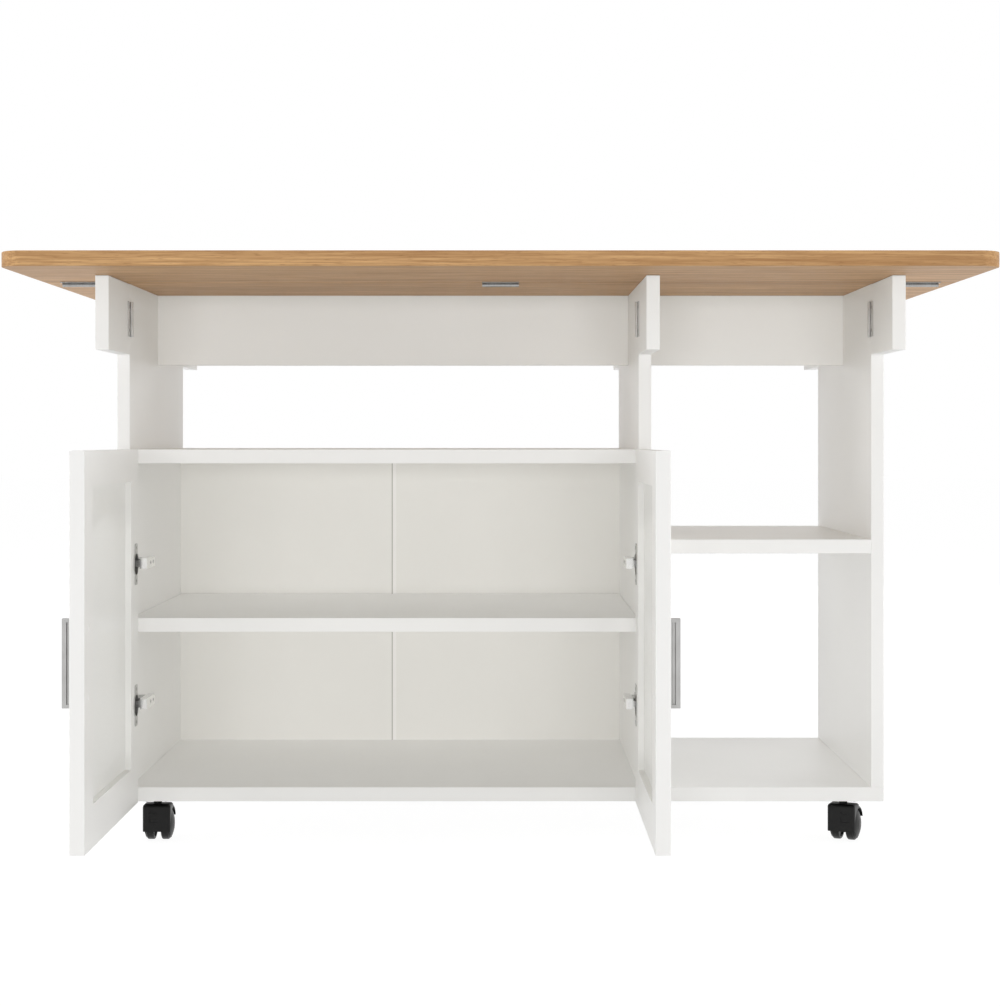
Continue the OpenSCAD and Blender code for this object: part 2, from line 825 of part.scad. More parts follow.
module caster_hood(place) {
    color(NYLON) at_caster(place) difference() {
        union() {
            hood_block();
            about_axle() intersection() {
                round_rect([-hood_r, -hood_half], [hood_r, hood_half], hood_t - 0.2);
                translate([0, -hood_half]) square([hood_r, 2 * hood_half]);
            }
            translate([0, 0, axle_z]) cylinder(r = hood_neck_r, h = neck_z - axle_z);
        }
        for (way = [-1, 1])
            translate([way * (web_half + hood_half), trail, axle_z]) rotate([0, 90, 0])
                cylinder(r = pocket_r, h = 2 * hood_half, center = true, $fn = 96);
        span([-hood_half - 1, -hood_front - 1, axle_z - hood_r - 1],
            [hood_half + 1, trail + hood_r + 1, hood_low]);
        span([-hood_half - 1, trail + hood_open, axle_z - hood_r - 1],
            [hood_half + 1, trail + hood_r + 1, axle_z + hood_open]);
        translate([place.x * recess_shift, 0, 0]) {
            hood_recess(recess_z, recess_low_h);
            hood_recess(recess_z + recess_low_h + recess_bar_h, recess_high_h);
        }
        translate([0, trail, axle_z]) rotate([0, 90, 0])
            cylinder(r = axle_r + run_clear, h = 2 * hood_half, center = true);
        translate([0, 0, axle_z + pocket_r + king_pin_gap - bearing_gap])
            cylinder(r = king_pin_r + run_clear, h = caster_h);
    }
}

module caster_axle(place) {
    color(STEEL) at_caster(place)
        translate([0, trail, axle_z]) rotate([0, 90, 0])
            cylinder(r = axle_r, h = 2 * (wheel_out - wheel_dome), center = true);
}

// Domed wheel on the x side dir, hollow behind its rim
module caster_wheel(place, dir) {
    dome_r = (pow(wheel_r, 2) + pow(wheel_dome, 2)) / (2 * wheel_dome);
    bore_end = wheel_out - wheel_dome + run_clear;
    hub_r = axle_r + 4;
    rim_t = 4;
    color(NYLON) at_caster(place) mirror([dir < 0 ? 1 : 0, 0, 0])
        about_axle() difference() {
            intersection() {
                round_rect([-wheel_r, wheel_in], [wheel_r, wheel_out + wheel_dome], tread_edge_r);
                translate([0, wheel_out - dome_r]) circle(dome_r, $fn = 240);
                square([wheel_r + 1, wheel_out + wheel_dome]);
            }
            translate([-1, 0]) square([axle_r + run_clear + 1, bore_end]);
            translate([hub_r, 0])
                square([wheel_r - rim_t - hub_r, wheel_out - wheel_dome - rim_t]);
        }
}

module caster_plates() {
    color(NYLON)
        for (place = [FRONT_LEFT, FRONT_RIGHT, REAR_LEFT, REAR_RIGHT])
            at_caster([place.x, place.y, 0]) {
                translate([-caster_plate_w / 2, -caster_plate_w / 2, plate_z])
                    cube([caster_plate_w, caster_plate_w, caster_plate_t]);
                translate([0, 0, plate_z - bearing_t])
                    cylinder(r = hood_neck_r + bearing_rim, h = bearing_t + eps);
                translate([0, 0, axle_z + pocket_r + king_pin_gap])
                    cylinder(r = king_pin_r, h = plate_z - axle_z - pocket_r);
            }
}

module front_left_caster_hood() { caster_hood(FRONT_LEFT); }
module front_right_caster_hood() { caster_hood(FRONT_RIGHT); }
module rear_left_caster_hood() { caster_hood(REAR_LEFT); }
module rear_right_caster_hood() { caster_hood(REAR_RIGHT); }
module front_left_caster_axle() { caster_axle(FRONT_LEFT); }
module front_right_caster_axle() { caster_axle(FRONT_RIGHT); }
module rear_left_caster_axle() { caster_axle(REAR_LEFT); }
module rear_right_caster_axle() { caster_axle(REAR_RIGHT); }
module front_left_caster_outer_wheel() { caster_wheel(FRONT_LEFT, -1); }
module front_left_caster_inner_wheel() { caster_wheel(FRONT_LEFT, 1); }
module front_right_caster_outer_wheel() { caster_wheel(FRONT_RIGHT, 1); }
module front_right_caster_inner_wheel() { caster_wheel(FRONT_RIGHT, -1); }
module rear_left_caster_outer_wheel() { caster_wheel(REAR_LEFT, 1); }
module rear_left_caster_inner_wheel() { caster_wheel(REAR_LEFT, -1); }
module rear_right_caster_outer_wheel() { caster_wheel(REAR_RIGHT, -1); }
module rear_right_caster_inner_wheel() { caster_wheel(REAR_RIGHT, 1); }

worktop_centre();
left_side_panel();
right_side_panel();
divider_panel();
left_apron();
right_apron();
bottom_board();
cabinet_top_board();
cabinet_shelf();
open_bay_shelf();
left_back_panel();
right_back_panel();
back_joining_strip();
shelf_pins();
door_hinge_plates();
door_hinge_arms();
support_hinge_fixed_leaves();
worktop_hinge_fixed_leaves();
caster_plates();
front_left_support();
front_centre_support();
front_right_support();
rear_left_support();
rear_centre_support();
rear_right_support();
front_left_support_hinge();
front_centre_support_hinge();
front_right_support_hinge();
rear_left_support_hinge();
rear_centre_support_hinge();
rear_right_support_hinge();
front_leaf();
rear_leaf();
front_leaf_hinge_leaves();
rear_leaf_hinge_leaves();
left_door_frame();
right_door_frame();
left_door_glass();
right_door_glass();
left_door_handle();
right_door_handle();
left_door_hinge_cups();
right_door_hinge_cups();
front_left_caster_hood();
front_right_caster_hood();
rear_left_caster_hood();
rear_right_caster_hood();
front_left_caster_axle();
front_right_caster_axle();
rear_left_caster_axle();
rear_right_caster_axle();
front_left_caster_outer_wheel();
front_left_caster_inner_wheel();
front_right_caster_outer_wheel();
front_right_caster_inner_wheel();
rear_left_caster_outer_wheel();
rear_left_caster_inner_wheel();
rear_right_caster_outer_wheel();
rear_right_caster_inner_wheel();
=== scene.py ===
"""Looks of a drop leaf kitchen island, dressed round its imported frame.

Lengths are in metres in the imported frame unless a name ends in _mm.
"""

import json
import logging
import math
from dataclasses import dataclass, field
from enum import Enum
from typing import Any, Callable, Iterable

import bmesh
import bpy
import numpy as np
from mathutils import Matrix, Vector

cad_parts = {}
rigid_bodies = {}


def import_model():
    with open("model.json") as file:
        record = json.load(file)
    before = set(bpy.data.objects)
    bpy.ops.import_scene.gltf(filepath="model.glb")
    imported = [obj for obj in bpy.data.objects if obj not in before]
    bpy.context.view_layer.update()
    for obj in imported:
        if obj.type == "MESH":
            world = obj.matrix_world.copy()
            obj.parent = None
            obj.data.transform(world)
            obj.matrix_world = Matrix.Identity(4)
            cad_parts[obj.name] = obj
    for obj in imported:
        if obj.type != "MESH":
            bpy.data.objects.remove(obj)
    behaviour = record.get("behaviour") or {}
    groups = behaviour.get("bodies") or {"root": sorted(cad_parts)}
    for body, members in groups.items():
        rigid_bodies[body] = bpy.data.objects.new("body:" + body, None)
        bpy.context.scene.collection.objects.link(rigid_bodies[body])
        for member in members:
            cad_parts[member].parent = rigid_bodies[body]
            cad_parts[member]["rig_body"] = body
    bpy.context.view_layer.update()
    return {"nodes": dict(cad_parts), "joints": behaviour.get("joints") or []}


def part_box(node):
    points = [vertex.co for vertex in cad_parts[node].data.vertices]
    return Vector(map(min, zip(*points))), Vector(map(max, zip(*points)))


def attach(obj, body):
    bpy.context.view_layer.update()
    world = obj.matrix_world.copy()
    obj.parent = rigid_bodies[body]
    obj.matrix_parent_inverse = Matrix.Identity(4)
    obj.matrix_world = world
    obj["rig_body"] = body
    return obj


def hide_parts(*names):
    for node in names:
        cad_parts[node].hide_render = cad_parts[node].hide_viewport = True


log = logging.getLogger("island")

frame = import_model()

MM = 0.001
MAIN = "body"
ROWS = ("front", "rear")
COLUMNS = ("left", "centre", "right")
NEARLY_PARALLEL = 0.95
MIX_AMOUNT, MIX_FIRST, MIX_SECOND, MIX_RESULT = 0, 6, 7, 2
GRAIN_STRETCH = {"Figure": (1.6, 11.0, 26.0), "Rings": (2.2, 24.0, 60.0),
                 "Streaks": (1.1, 48.0, 130.0), "Fibre": (14.0, 420.0, 420.0),
                 "Pores": (60.0, 900.0, 900.0)}
Colour = tuple[float, float, float]


class Face(Enum):
    """Outward directions along the axes of the frame."""

    LEFT = (-1.0, 0.0, 0.0)
    RIGHT = (1.0, 0.0, 0.0)
    FRONT = (0.0, -1.0, 0.0)
    BACK = (0.0, 1.0, 0.0)
    DOWN = (0.0, 0.0, -1.0)
    UP = (0.0, 0.0, 1.0)


class Side(Enum):
    """The two doors, each with its word in the frame's names."""

    LEFT = "left"
    RIGHT = "right"

    @property
    def inward(self) -> Face:
        """Direction from the side's panel into the cabinet."""
        return Face.RIGHT if self is Side.LEFT else Face.LEFT


# ---------------------------------------------------------------- surfaces


@dataclass
class Surface:
    """Points and faces of one closed surface, with its point normals if they are known.

    Without normals its edges shade sharp where two faces meet at more than crease degrees.
    """

    points: np.ndarray
    faces: list[list[int]]
    normals: np.ndarray | None = None
    crease: float = 32.0

    def moved(self, basis: np.ndarray, origin: Iterable[float]) -> "Surface":
        """Carries the surface into a frame with the given axes and origin.

        Args:
            basis: three rows, the images of the local X, Y and Z axes.
            origin: image of the local origin.

        Returns:
            The surface in that frame: p' = p · basis + origin.
        """
        normals = None if self.normals is None else self.normals @ basis
        return Surface(self.points @ basis + np.asarray(origin), self.faces, normals,
                       self.crease)


def joined(parts: list[Surface]) -> Surface:
    """Puts several surfaces without normals into one.

    Args:
        parts: the surfaces.

    Returns:
        One surface, with each part's faces numbered on from the part before.
    """
    faces: list[list[int]] = []
    start = 0
    for part in parts:
        faces += [[i + start for i in f] for f in part.faces]
        start += len(part.points)
    return Surface(np.vstack([p.points for p in parts]), faces, crease=parts[0].crease)


def ring_faces(rings: int, count: int) -> list[list[int]]:
    """Quads between closed rings of points, with a flat cap on the first and last ring.

    Args:
        rings: number of rings, one after the other along the surface.
        count: points in each ring, counter-clockwise seen from the last ring's side.

    Returns:
        Faces whose normals point outwards.
    """
    i = np.arange(rings - 1)[:, None] * count
    j = np.arange(count)[None, :]
    k = (j + 1) % count
    quads = np.stack([i + j, i + k, i + count + k, i + count + j], -1).reshape(-1, 4)
    faces = quads.tolist()
    faces.append(list(range(count - 1, -1, -1)))
    faces.append(list(range((rings - 1) * count, rings * count)))
    return faces


def axes_for(normal: Iterable[float], up: Iterable[float] = (0, 0, 1)) -> np.ndarray:
    """Right-handed axes whose Z is a normal and whose Y is as near as can be to up.

    Args:
        normal: direction of the Z axis.
        up: the direction that Y leans to; the frame's Y takes its place near the normal.

    Returns:
        The three axes as rows.
    """
    z = np.asarray(normal, float)
    z = z / np.linalg.norm(z)
    hint = np.asarray(up, float)
    if abs(z @ hint) > NEARLY_PARALLEL:
        hint = np.array([0.0, 1.0, 0.0])
    y = hint - (hint @ z) * z
    y = y / np.linalg.norm(y)
    return np.array([np.cross(y, z), y, z])


def turned(profile: np.ndarray, steps: int, crease: float = 28.0) -> Surface:
    """Solid of revolution about local Z.

    Args:
        profile: rows of (radius, height) from the axis at the bottom, round the outside,
            to the axis at the top, with every radius above zero.
        steps: number of points round the axis.
        crease: angle in degrees past which an edge shades sharp.

    Returns:
        Points (r cos a, r sin a, h) for each row and angle a, with flat caps over the ends.
    """
    angle = np.linspace(0, 2 * math.pi, steps, endpoint=False)
    around = np.stack([np.cos(angle), np.sin(angle)], -1)
    radius, height = profile[:, 0], profile[:, 1]
    points = np.concatenate([radius[:, None, None] * around[None],
                             np.broadcast_to(height[:, None, None], (len(profile), steps, 1))],
                            -1)
    return Surface(points.reshape(-1, 3), ring_faces(len(profile), steps), crease=crease)


@dataclass(frozen=True)
class EasedBoard:
    """Board with a quarter-round ease on all its edges and its own radius on each corner.

    low and high are opposite corners; corners holds the plan radii at (-x, -y), (+x, -y),
    (+x, +y) and (-x, +y), in millimetres, and none is under least_corner times the ease.
    """

    low: tuple[float, float, float]
    high: tuple[float, float, float]
    ease_mm: float = 0.8
    corners: tuple[float, float, float, float] = (0.0, 0.0, 0.0, 0.0)
    least_corner: float = 1.15
    arc_steps: int = 5
    round_steps: int = 10

    def surface(self) -> Surface:
        """Rings of the plan outline, drawn in by the ease towards the top and bottom.

        With phi the tilt of the edge's round, from -90 degrees at the bottom to 90 at the
        top, a ring is drawn in by e (1 - cos phi) and its height is a quarter round off the
        face. Round a corner of radius R with the angle theta, a point lies at the corner's
        centre plus (R - inset)(cos theta, sin theta), and its normal is
        (cos phi cos theta, cos phi sin theta, sin phi).

        Returns:
            The closed board with its normals.
        """
        ease = self.ease_mm * MM
        low, high = np.array(self.low), np.array(self.high)
        quarter = np.linspace(0, math.pi / 2, self.arc_steps)
        phi = np.concatenate([quarter - math.pi / 2, quarter])
        base = np.concatenate([np.full(self.arc_steps, low[2] + ease),
                               np.full(self.arc_steps, high[2] - ease)])
        height = base + ease * np.sin(phi)
        inset = ease * (1 - np.cos(phi))
        middles, radii, thetas = [], [], []
        signs = ((-1, -1, math.pi), (1, -1, 1.5 * math.pi), (1, 1, 0.0), (-1, 1, 0.5 * math.pi))
        for (sx, sy, start), plan in zip(signs, self.corners):
            radius = max(plan * MM, ease * self.least_corner)
            steps = self.round_steps if plan > self.ease_mm else self.arc_steps
            corner = np.array([high[0] if sx > 0 else low[0], high[1] if sy > 0 else low[1]])
            theta = start + np.linspace(0, math.pi / 2, steps)
            middles.append(np.repeat([corner - radius * np.array([sx, sy])], steps, 0))
            radii.append(np.full(steps, radius))
            thetas.append(theta)
        middle, radius = np.vstack(middles), np.concatenate(radii)
        theta = np.concatenate(thetas)
        out = np.stack([np.cos(theta), np.sin(theta)], -1)
        reach = radius[None, :] - inset[:, None]
        plan = middle[None] + reach[..., None] * out[None]
        shape = (len(phi), len(theta), 1)
        points = np.concatenate([plan, np.broadcast_to(height[:, None, None], shape)], -1)
        normals = np.concatenate([np.cos(phi)[:, None, None] * out[None],
                                  np.broadcast_to(np.sin(phi)[:, None, None], shape)], -1)
        return Surface(points.reshape(-1, 3), ring_faces(len(phi), len(theta)),
                       normals.reshape(-1, 3))


@dataclass(frozen=True)
class FlutedPane:
    """Glass pane with round flutes down its outer face and a flat inner face.

    The pane's local X runs across the flutes, Y along them, and Z out of the fluted face.
    """

    width: float
    height: float
    thick: float
    flutes: int = 18
    depth_mm: float = 0.5
    per_flute: int = 14
    crease: float = 11.0

    def surface(self) -> Surface:
        """Section rings: flute height d |sin(pi n s)| over the flat, carried along Y.

        s runs from 0 to 1 across the pane and n is the number of flutes, so that each flute
        is a round rib and two ribs meet in a sharp valley.

        Returns:
            The closed pane.
        """
        s = np.linspace(0, 1, self.flutes * self.per_flute + 1)
        wave = np.abs(np.sin(math.pi * self.flutes * s))
        x = (s - 0.5) * self.width
        top = self.thick - self.depth_mm * MM * (1 - wave)
        section = np.vstack([np.stack([x, top], -1)[::-1], np.stack([x, 0 * x], -1)])
        points = np.zeros((2, len(section), 3))
        points[..., 0], points[..., 2] = section[:, 0], section[:, 1]
        points[0, :, 1], points[1, :, 1] = self.height / 2, -self.height / 2
        return Surface(points.reshape(-1, 3), ring_faces(2, len(section)), crease=self.crease)


@dataclass(frozen=True)
class CrossScrew:
    """Low screw head with a cross-shaped recess, seated on a plate.

    The fades are the widths of the recess's sloping walls. lip_mm lifts the whole dome off
    the plate, foot_mm sinks its foot, and middle is the cap in its middle over its radius.
    """

    radius_mm: float = 3.2
    rise_mm: float = 0.7
    recess_mm: float = 0.9
    slot_mm: float = 0.45
    reach_mm: float = 1.9
    slot_fade_mm: float = 0.25
    end_fade_mm: float = 0.4
    lip_mm: float = 0.15
    foot_mm: float = 0.6
    middle: float = 0.03
    rings: int = 9
    steps: int = 32

    def surface(self) -> Surface:
        """Dome h = rise (1 - (r/R)^2), less the recess where the cross's arms are.

        The arms are |x| or |y| below the slot's half width, out to their reach; both edges
        fade over a fraction of a millimetre, so that the recess has sloping walls.

        Returns:
            The closed head, with its foot sunk a little into the plate at z = 0.
        """
        radius = self.radius_mm * MM
        r = np.linspace(self.middle, 1.0, self.rings) * radius
        angle = np.linspace(0, 2 * math.pi, self.steps, endpoint=False)
        grid = r[::-1, None] * np.ones(self.steps)
        x, y = grid * np.cos(angle), grid * np.sin(angle)
        dome = self.rise_mm * MM * (1 - (grid / radius) ** 2)
        arm = np.minimum(np.abs(x), np.abs(y)) / MM
        fade = self.slot_fade_mm
        inside = np.clip((self.slot_mm + fade - arm) / fade, 0, 1)
        inside *= np.clip((self.reach_mm - grid / MM) / self.end_fade_mm, 0, 1)
        top = np.stack([x, y, dome + self.lip_mm * MM - self.recess_mm * MM * inside], -1)
        foot = np.stack([radius * np.cos(angle), radius * np.sin(angle),
                         np.full(self.steps, -self.foot_mm * MM)], -1)
        points = np.concatenate([foot[None], top]).reshape(-1, 3)
        return Surface(points, ring_faces(self.rings + 1, self.steps))


def add_piece(name: str, surface: Surface, material: bpy.types.Material, body: str,
              replaces: str | None = None) -> bpy.types.Object:
    """Makes an object of a surface, gives it a material and puts it on a body.

    Args:
        name: name of the piece.
        surface: the piece in the frame's coordinates.
        material: its finish.
        body: the CAD body that it moves with.
        replaces: the CAD node that it stands for, if any.

    Returns:
        The new object.
    """
    mesh = bpy.data.meshes.new(name)
    mesh.from_pydata(surface.points.tolist(), [], surface.faces)
    mesh.validate()
    mesh.materials.append(material)
    mesh.polygons.foreach_set("use_smooth", np.ones(len(mesh.polygons), bool))
    if surface.normals is None:
        mesh.set_sharp_from_angle(angle=math.radians(surface.crease))
    else:
        length = np.linalg.norm(surface.normals, axis=1, keepdims=True)
        mesh.normals_split_custom_set_from_vertices((surface.normals / length).tolist())
    mesh.update()
    obj = bpy.data.objects.new(name, mesh)
    bpy.context.scene.collection.objects.link(obj)
    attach(obj, body)
    if replaces:
        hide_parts(replaces)
    log.info("%s: %d faces on %s", name, len(mesh.polygons), body)
    return obj


# ---------------------------------------------------------------- shader tools


class Graph:
    """Adds, sets and links the nodes of one node tree."""

    def __init__(self, tree: bpy.types.NodeTree) -> None:
        """Takes the tree to work on."""
        self.tree = tree

    def add(self, kind: str, values: dict[str, Any] | None = None,
            **settings: Any) -> bpy.types.Node:
        """Adds a node.

        Args:
            kind: type of the node, without its ShaderNode prefix.
            values: input names or numbers to numbers, colours or sockets to link.
            settings: properties of the node itself.

        Returns:
            The node.
        """
        node = self.tree.nodes.new(f"ShaderNode{kind}")
        for key, value in settings.items():
            setattr(node, key, value)
        for key, value in (values or {}).items():
            self.put(node.inputs[key], value)
        return node

    def put(self, socket: bpy.types.NodeSocket, value: Any) -> None:
        """Links a socket if the value is one, or else sets its default value.

        Args:
            socket: input to fill.
            value: a socket to link, or a number, vector or colour to set.
        """
        if isinstance(value, bpy.types.NodeSocket):
            self.tree.links.new(value, socket)
        elif isinstance(value, tuple) and len(value) == 3 and socket.type == "RGBA":
            socket.default_value = (*value, 1.0)
        else:
            socket.default_value = value

    def mixed(self, amount: Any, first: Any, second: Any) -> bpy.types.NodeSocket:
        """Colour that goes from first to second as an amount goes from 0 to 1.

        Args:
            amount: number or socket.
            first: colour or socket at 0.
            second: colour or socket at 1.

        Returns:
            The mixed colour.
        """
        node = self.add("Mix", data_type="RGBA")
        self.put(node.inputs[MIX_AMOUNT], amount)
        self.put(node.inputs[MIX_FIRST], first)
        self.put(node.inputs[MIX_SECOND], second)
        return node.outputs[MIX_RESULT]

    def scattered(self, tone: Any, bounce: Colour) -> bpy.types.NodeSocket:
        """Colour that is the tone to the eye and a plainer bounce colour to scattered light."""
        return self.mixed(self.add("LightPath").outputs["Is Diffuse Ray"], tone, bounce)

    def ranged(self, value: bpy.types.NodeSocket, low: float, high: float,
               out_low: float = 0.0, out_high: float = 1.0) -> bpy.types.NodeSocket:
        """Value carried from one range to another, clamped at its ends."""
        return self.add("MapRange", {"Value": value, "From Min": low, "From Max": high,
                                     "To Min": out_low, "To Max": out_high}).outputs[0]

    def noise(self, vector: bpy.types.NodeSocket, scale: float, detail: float = 2.0,
              distortion: float = 0.0) -> bpy.types.NodeSocket:
        """Noise value of a vector."""
        return self.add("TexNoise", {"Vector": vector, "Scale": scale, "Detail": detail,
                                     "Distortion": distortion}).outputs[0]


def new_group(name: str, inputs: dict[str, float | None],
              outputs: Iterable[str]) -> tuple[bpy.types.NodeTree, Graph, Any, Any]:
    """Makes an empty shader group.

    Args:
        name: name of the group.
        inputs: input names and their defaults; None makes a vector input.
        outputs: names of its value outputs.

    Returns:
        The tree, its graph, and its input and output nodes.
    """
    tree = bpy.data.node_groups.new(name, "ShaderNodeTree")
    for key, value in inputs.items():
        kind = "NodeSocketVector" if value is None else "NodeSocketFloat"
        socket = tree.interface.new_socket(key, in_out="INPUT", socket_type=kind)
        if value is not None:
            socket.default_value = value
    for key in outputs:
        tree.interface.new_socket(key, in_out="OUTPUT", socket_type="NodeSocketFloat")
    return (tree, Graph(tree), tree.nodes.new("NodeGroupInput"),
            tree.nodes.new("NodeGroupOutput"))


def grain_group() -> bpy.types.NodeTree:
    """Oak grain along X: figure, rings cut along the board, streaks, fibres and pores.

    Returns:
        The group, whose masks are noises and a wave of the place stretched along X.
    """
    tree, g, given, out = new_group("oak_grain", {"Vector": None}, GRAIN_STRETCH)
    at = {mask: g.add("Mapping", {"Vector": given.outputs["Vector"],
                                  "Scale": stretch}).outputs[0]
          for mask, stretch in GRAIN_STRETCH.items()}
    wave = g.add("TexWave", {"Vector": at["Rings"], "Scale": 1.0, "Distortion": 9.0,
                             "Detail": 2.0, "Detail Scale": 0.8, "Detail Roughness": 0.55},
                 wave_type="BANDS", bands_direction="DIAGONAL")
    g.put(out.inputs["Figure"], g.noise(at["Figure"], 1.0, 3.0, 0.6))
    g.put(out.inputs["Rings"], wave.outputs[1])
    g.put(out.inputs["Streaks"], g.noise(at["Streaks"], 1.0, 4.0, 0.3))
    g.put(out.inputs["Fibre"], g.noise(at["Fibre"], 1.0, 2.5, 0.2))
    g.put(out.inputs["Pores"], g.ranged(g.noise(at["Pores"], 1.0, 1.0), 0.6, 0.74))
    return tree


def speckle_group() -> bpy.types.NodeTree:
    """Fine moulded or printed texture: a slow cloud and a fine peel at a given scale.

    Returns:
        The group.
    """
    tree, g, given, out = new_group(
        "fine_speckle", {"Vector": None, "Scale": 600.0}, ("Cloud", "Peel"))
    g.put(out.inputs["Cloud"], g.noise(given.outputs["Vector"], 5.0, 3.0))
    peel = g.add("TexNoise", {"Vector": given.outputs["Vector"], "Detail": 2.0})
    g.put(peel.inputs["Scale"], given.outputs["Scale"])
    g.put(out.inputs["Peel"], peel.outputs[0])
    return tree


def seam_shadow_group() -> bpy.types.NodeTree:
    """Soft upright painted shadow line of the joining strip's step: 1 at the given X, falling
    to 0 at twice the given half width.

    Returns:
        The group.
    """
    tree, g, given, out = new_group("seam_shadow_line", {"Vector": None, "X": 0.0, "Half": 0.001},
                                    ("Line",))
    x = g.add("SeparateXYZ", {0: given.outputs["Vector"]}).outputs[0]
    off = g.add("Math", {0: x, 1: given.outputs["X"]}, operation="SUBTRACT").outputs[0]
    away = g.add("Math", {0: off}, operation="ABSOLUTE").outputs[0]
    halves = g.add("Math", {0: away, 1: given.outputs["Half"]}, operation="DIVIDE").outputs[0]
    g.put(out.inputs["Line"], g.ranged(halves, 0.8, 1.8, 1.0, 0.0))
    return tree


def brushing_group() -> bpy.types.NodeTree:
    """Brush lines along Z: noise that is stretched a hundred times that way.

    Returns:
        The group.
    """
    tree, g, given, out = new_group("brush_lines", {"Vector": None}, ("Lines", "Smudge"))
    along = g.add("Mapping", {"Vector": given.outputs["Vector"],
                              "Scale": (2600.0, 2600.0, 26.0)}).outputs[0]
    g.put(out.inputs["Lines"], g.noise(along, 1.0, 2.0))
    g.put(out.inputs["Smudge"], g.noise(given.outputs["Vector"], 40.0, 2.0))
    return tree


GROUPS: dict[Callable[[], bpy.types.NodeTree], bpy.types.NodeTree] = {}


def use_group(g: Graph, maker: Callable[[], bpy.types.NodeTree],
              values: dict[str, Any]) -> bpy.types.Node:
    """Places a shared group in a material, and builds it the first time.

    Args:
        g: the material's graph.
        maker: function that builds the group.
        values: its input values or sockets.

    Returns:
        The group's node.
    """
    if maker not in GROUPS:
        GROUPS[maker] = maker()
    node = g.add("Group")
    node.node_tree = GROUPS[maker]
    for key, value in values.items():
        g.put(node.inputs[key], value)
    return node


@dataclass(frozen=True)
class Finish:
    """A finish: its name and what its material is built from."""

    name: str

    def build(self) -> bpy.types.Material:
        """Makes the material with a Principled shader and this finish's own nodes.

        Returns:
            The material.
        """
        material = bpy.data.materials.new(self.name)
        material.use_nodes = True
        material.node_tree.nodes.clear()
        g = Graph(material.node_tree)
        shader = g.add("BsdfPrincipled")
        out = g.add("OutputMaterial")
        g.put(out.inputs["Surface"], shader.outputs[0])
        place = g.add("TexCoord").outputs["Object"]
        self.dress(g, shader, place)
        return material

    def dress(self, g: Graph, shader: bpy.types.Node, place: bpy.types.NodeSocket) -> None:
        """Sets and links the shader's inputs; each finish has its own.

        Args:
            g: graph of the material.
            shader: its Principled shader.
            place: Object coordinates.
        """
        raise NotImplementedError

    @staticmethod
    def bump(g: Graph, shader: bpy.types.Node, height: bpy.types.NodeSocket,
             strength: float, distance_mm: float) -> None:
        """Feeds a height into the shader's normal.

        Args:
            g: graph of the material.
            shader: its Principled shader.
            height: height from 0 to 1.
            strength: strength of the bump.
            distance_mm: depth that a height of 1 stands for.
        """
        node = g.add("Bump", {"Height": height, "Strength": strength,
                              "Distance": distance_mm * MM})
        g.put(shader.inputs["Normal"], node.outputs[0])


@dataclass(frozen=True)
class Oak(Finish):
    """Satin oak: honey wood with darker rings, streaks and fine pores along X."""

    light: Colour = (0.7, 0.43, 0.2)
    dark: Colour = (0.34, 0.17, 0.066)
    pore: Colour = (0.23, 0.105, 0.038)
    bounce: Colour = (0.55, 0.5, 0.43)
    figure_share: float = 0.25

    def dress(self, g: Graph, shader: bpy.types.Node, place: bpy.types.NodeSocket) -> None:
        """Mixes the three colours by the grain group's masks.

        Args:
            g: graph of the material.
            shader: its Principled shader.
            place: Object coordinates.
        """
        grain = use_group(g, grain_group, {"Vector": place})
        figure = g.ranged(grain.outputs["Figure"], 0.35, 0.68)
        rings = g.ranged(grain.outputs["Rings"], 0.15, 0.95, 0.0, 0.3)
        streaks = g.ranged(grain.outputs["Streaks"], 0.4, 0.64, 0.0, 0.55)
        fibre = g.ranged(grain.outputs["Fibre"], 0.4, 0.62, 0.0, 0.55)
        share = self.figure_share
        tone = g.mixed(figure, self.light, tuple((1.0 - share) * a + share * b for a, b in
                                                 zip(self.light, self.dark)))
        for mask in (rings, streaks, fibre):
            tone = g.mixed(mask, tone, self.dark)
        pores = g.ranged(grain.outputs["Pores"], 0.0, 1.0, 0.0, 0.55)
        g.put(shader.inputs["Base Color"],
              g.scattered(g.mixed(pores, tone, self.pore), self.bounce))
        shader.inputs["Specular IOR Level"].default_value = 0.3
        g.put(shader.inputs["Roughness"],
              g.ranged(grain.outputs["Fibre"], 0.3, 0.7, 0.42, 0.56))
        self.bump(g, shader, grain.outputs["Fibre"], 0.25, 0.12)


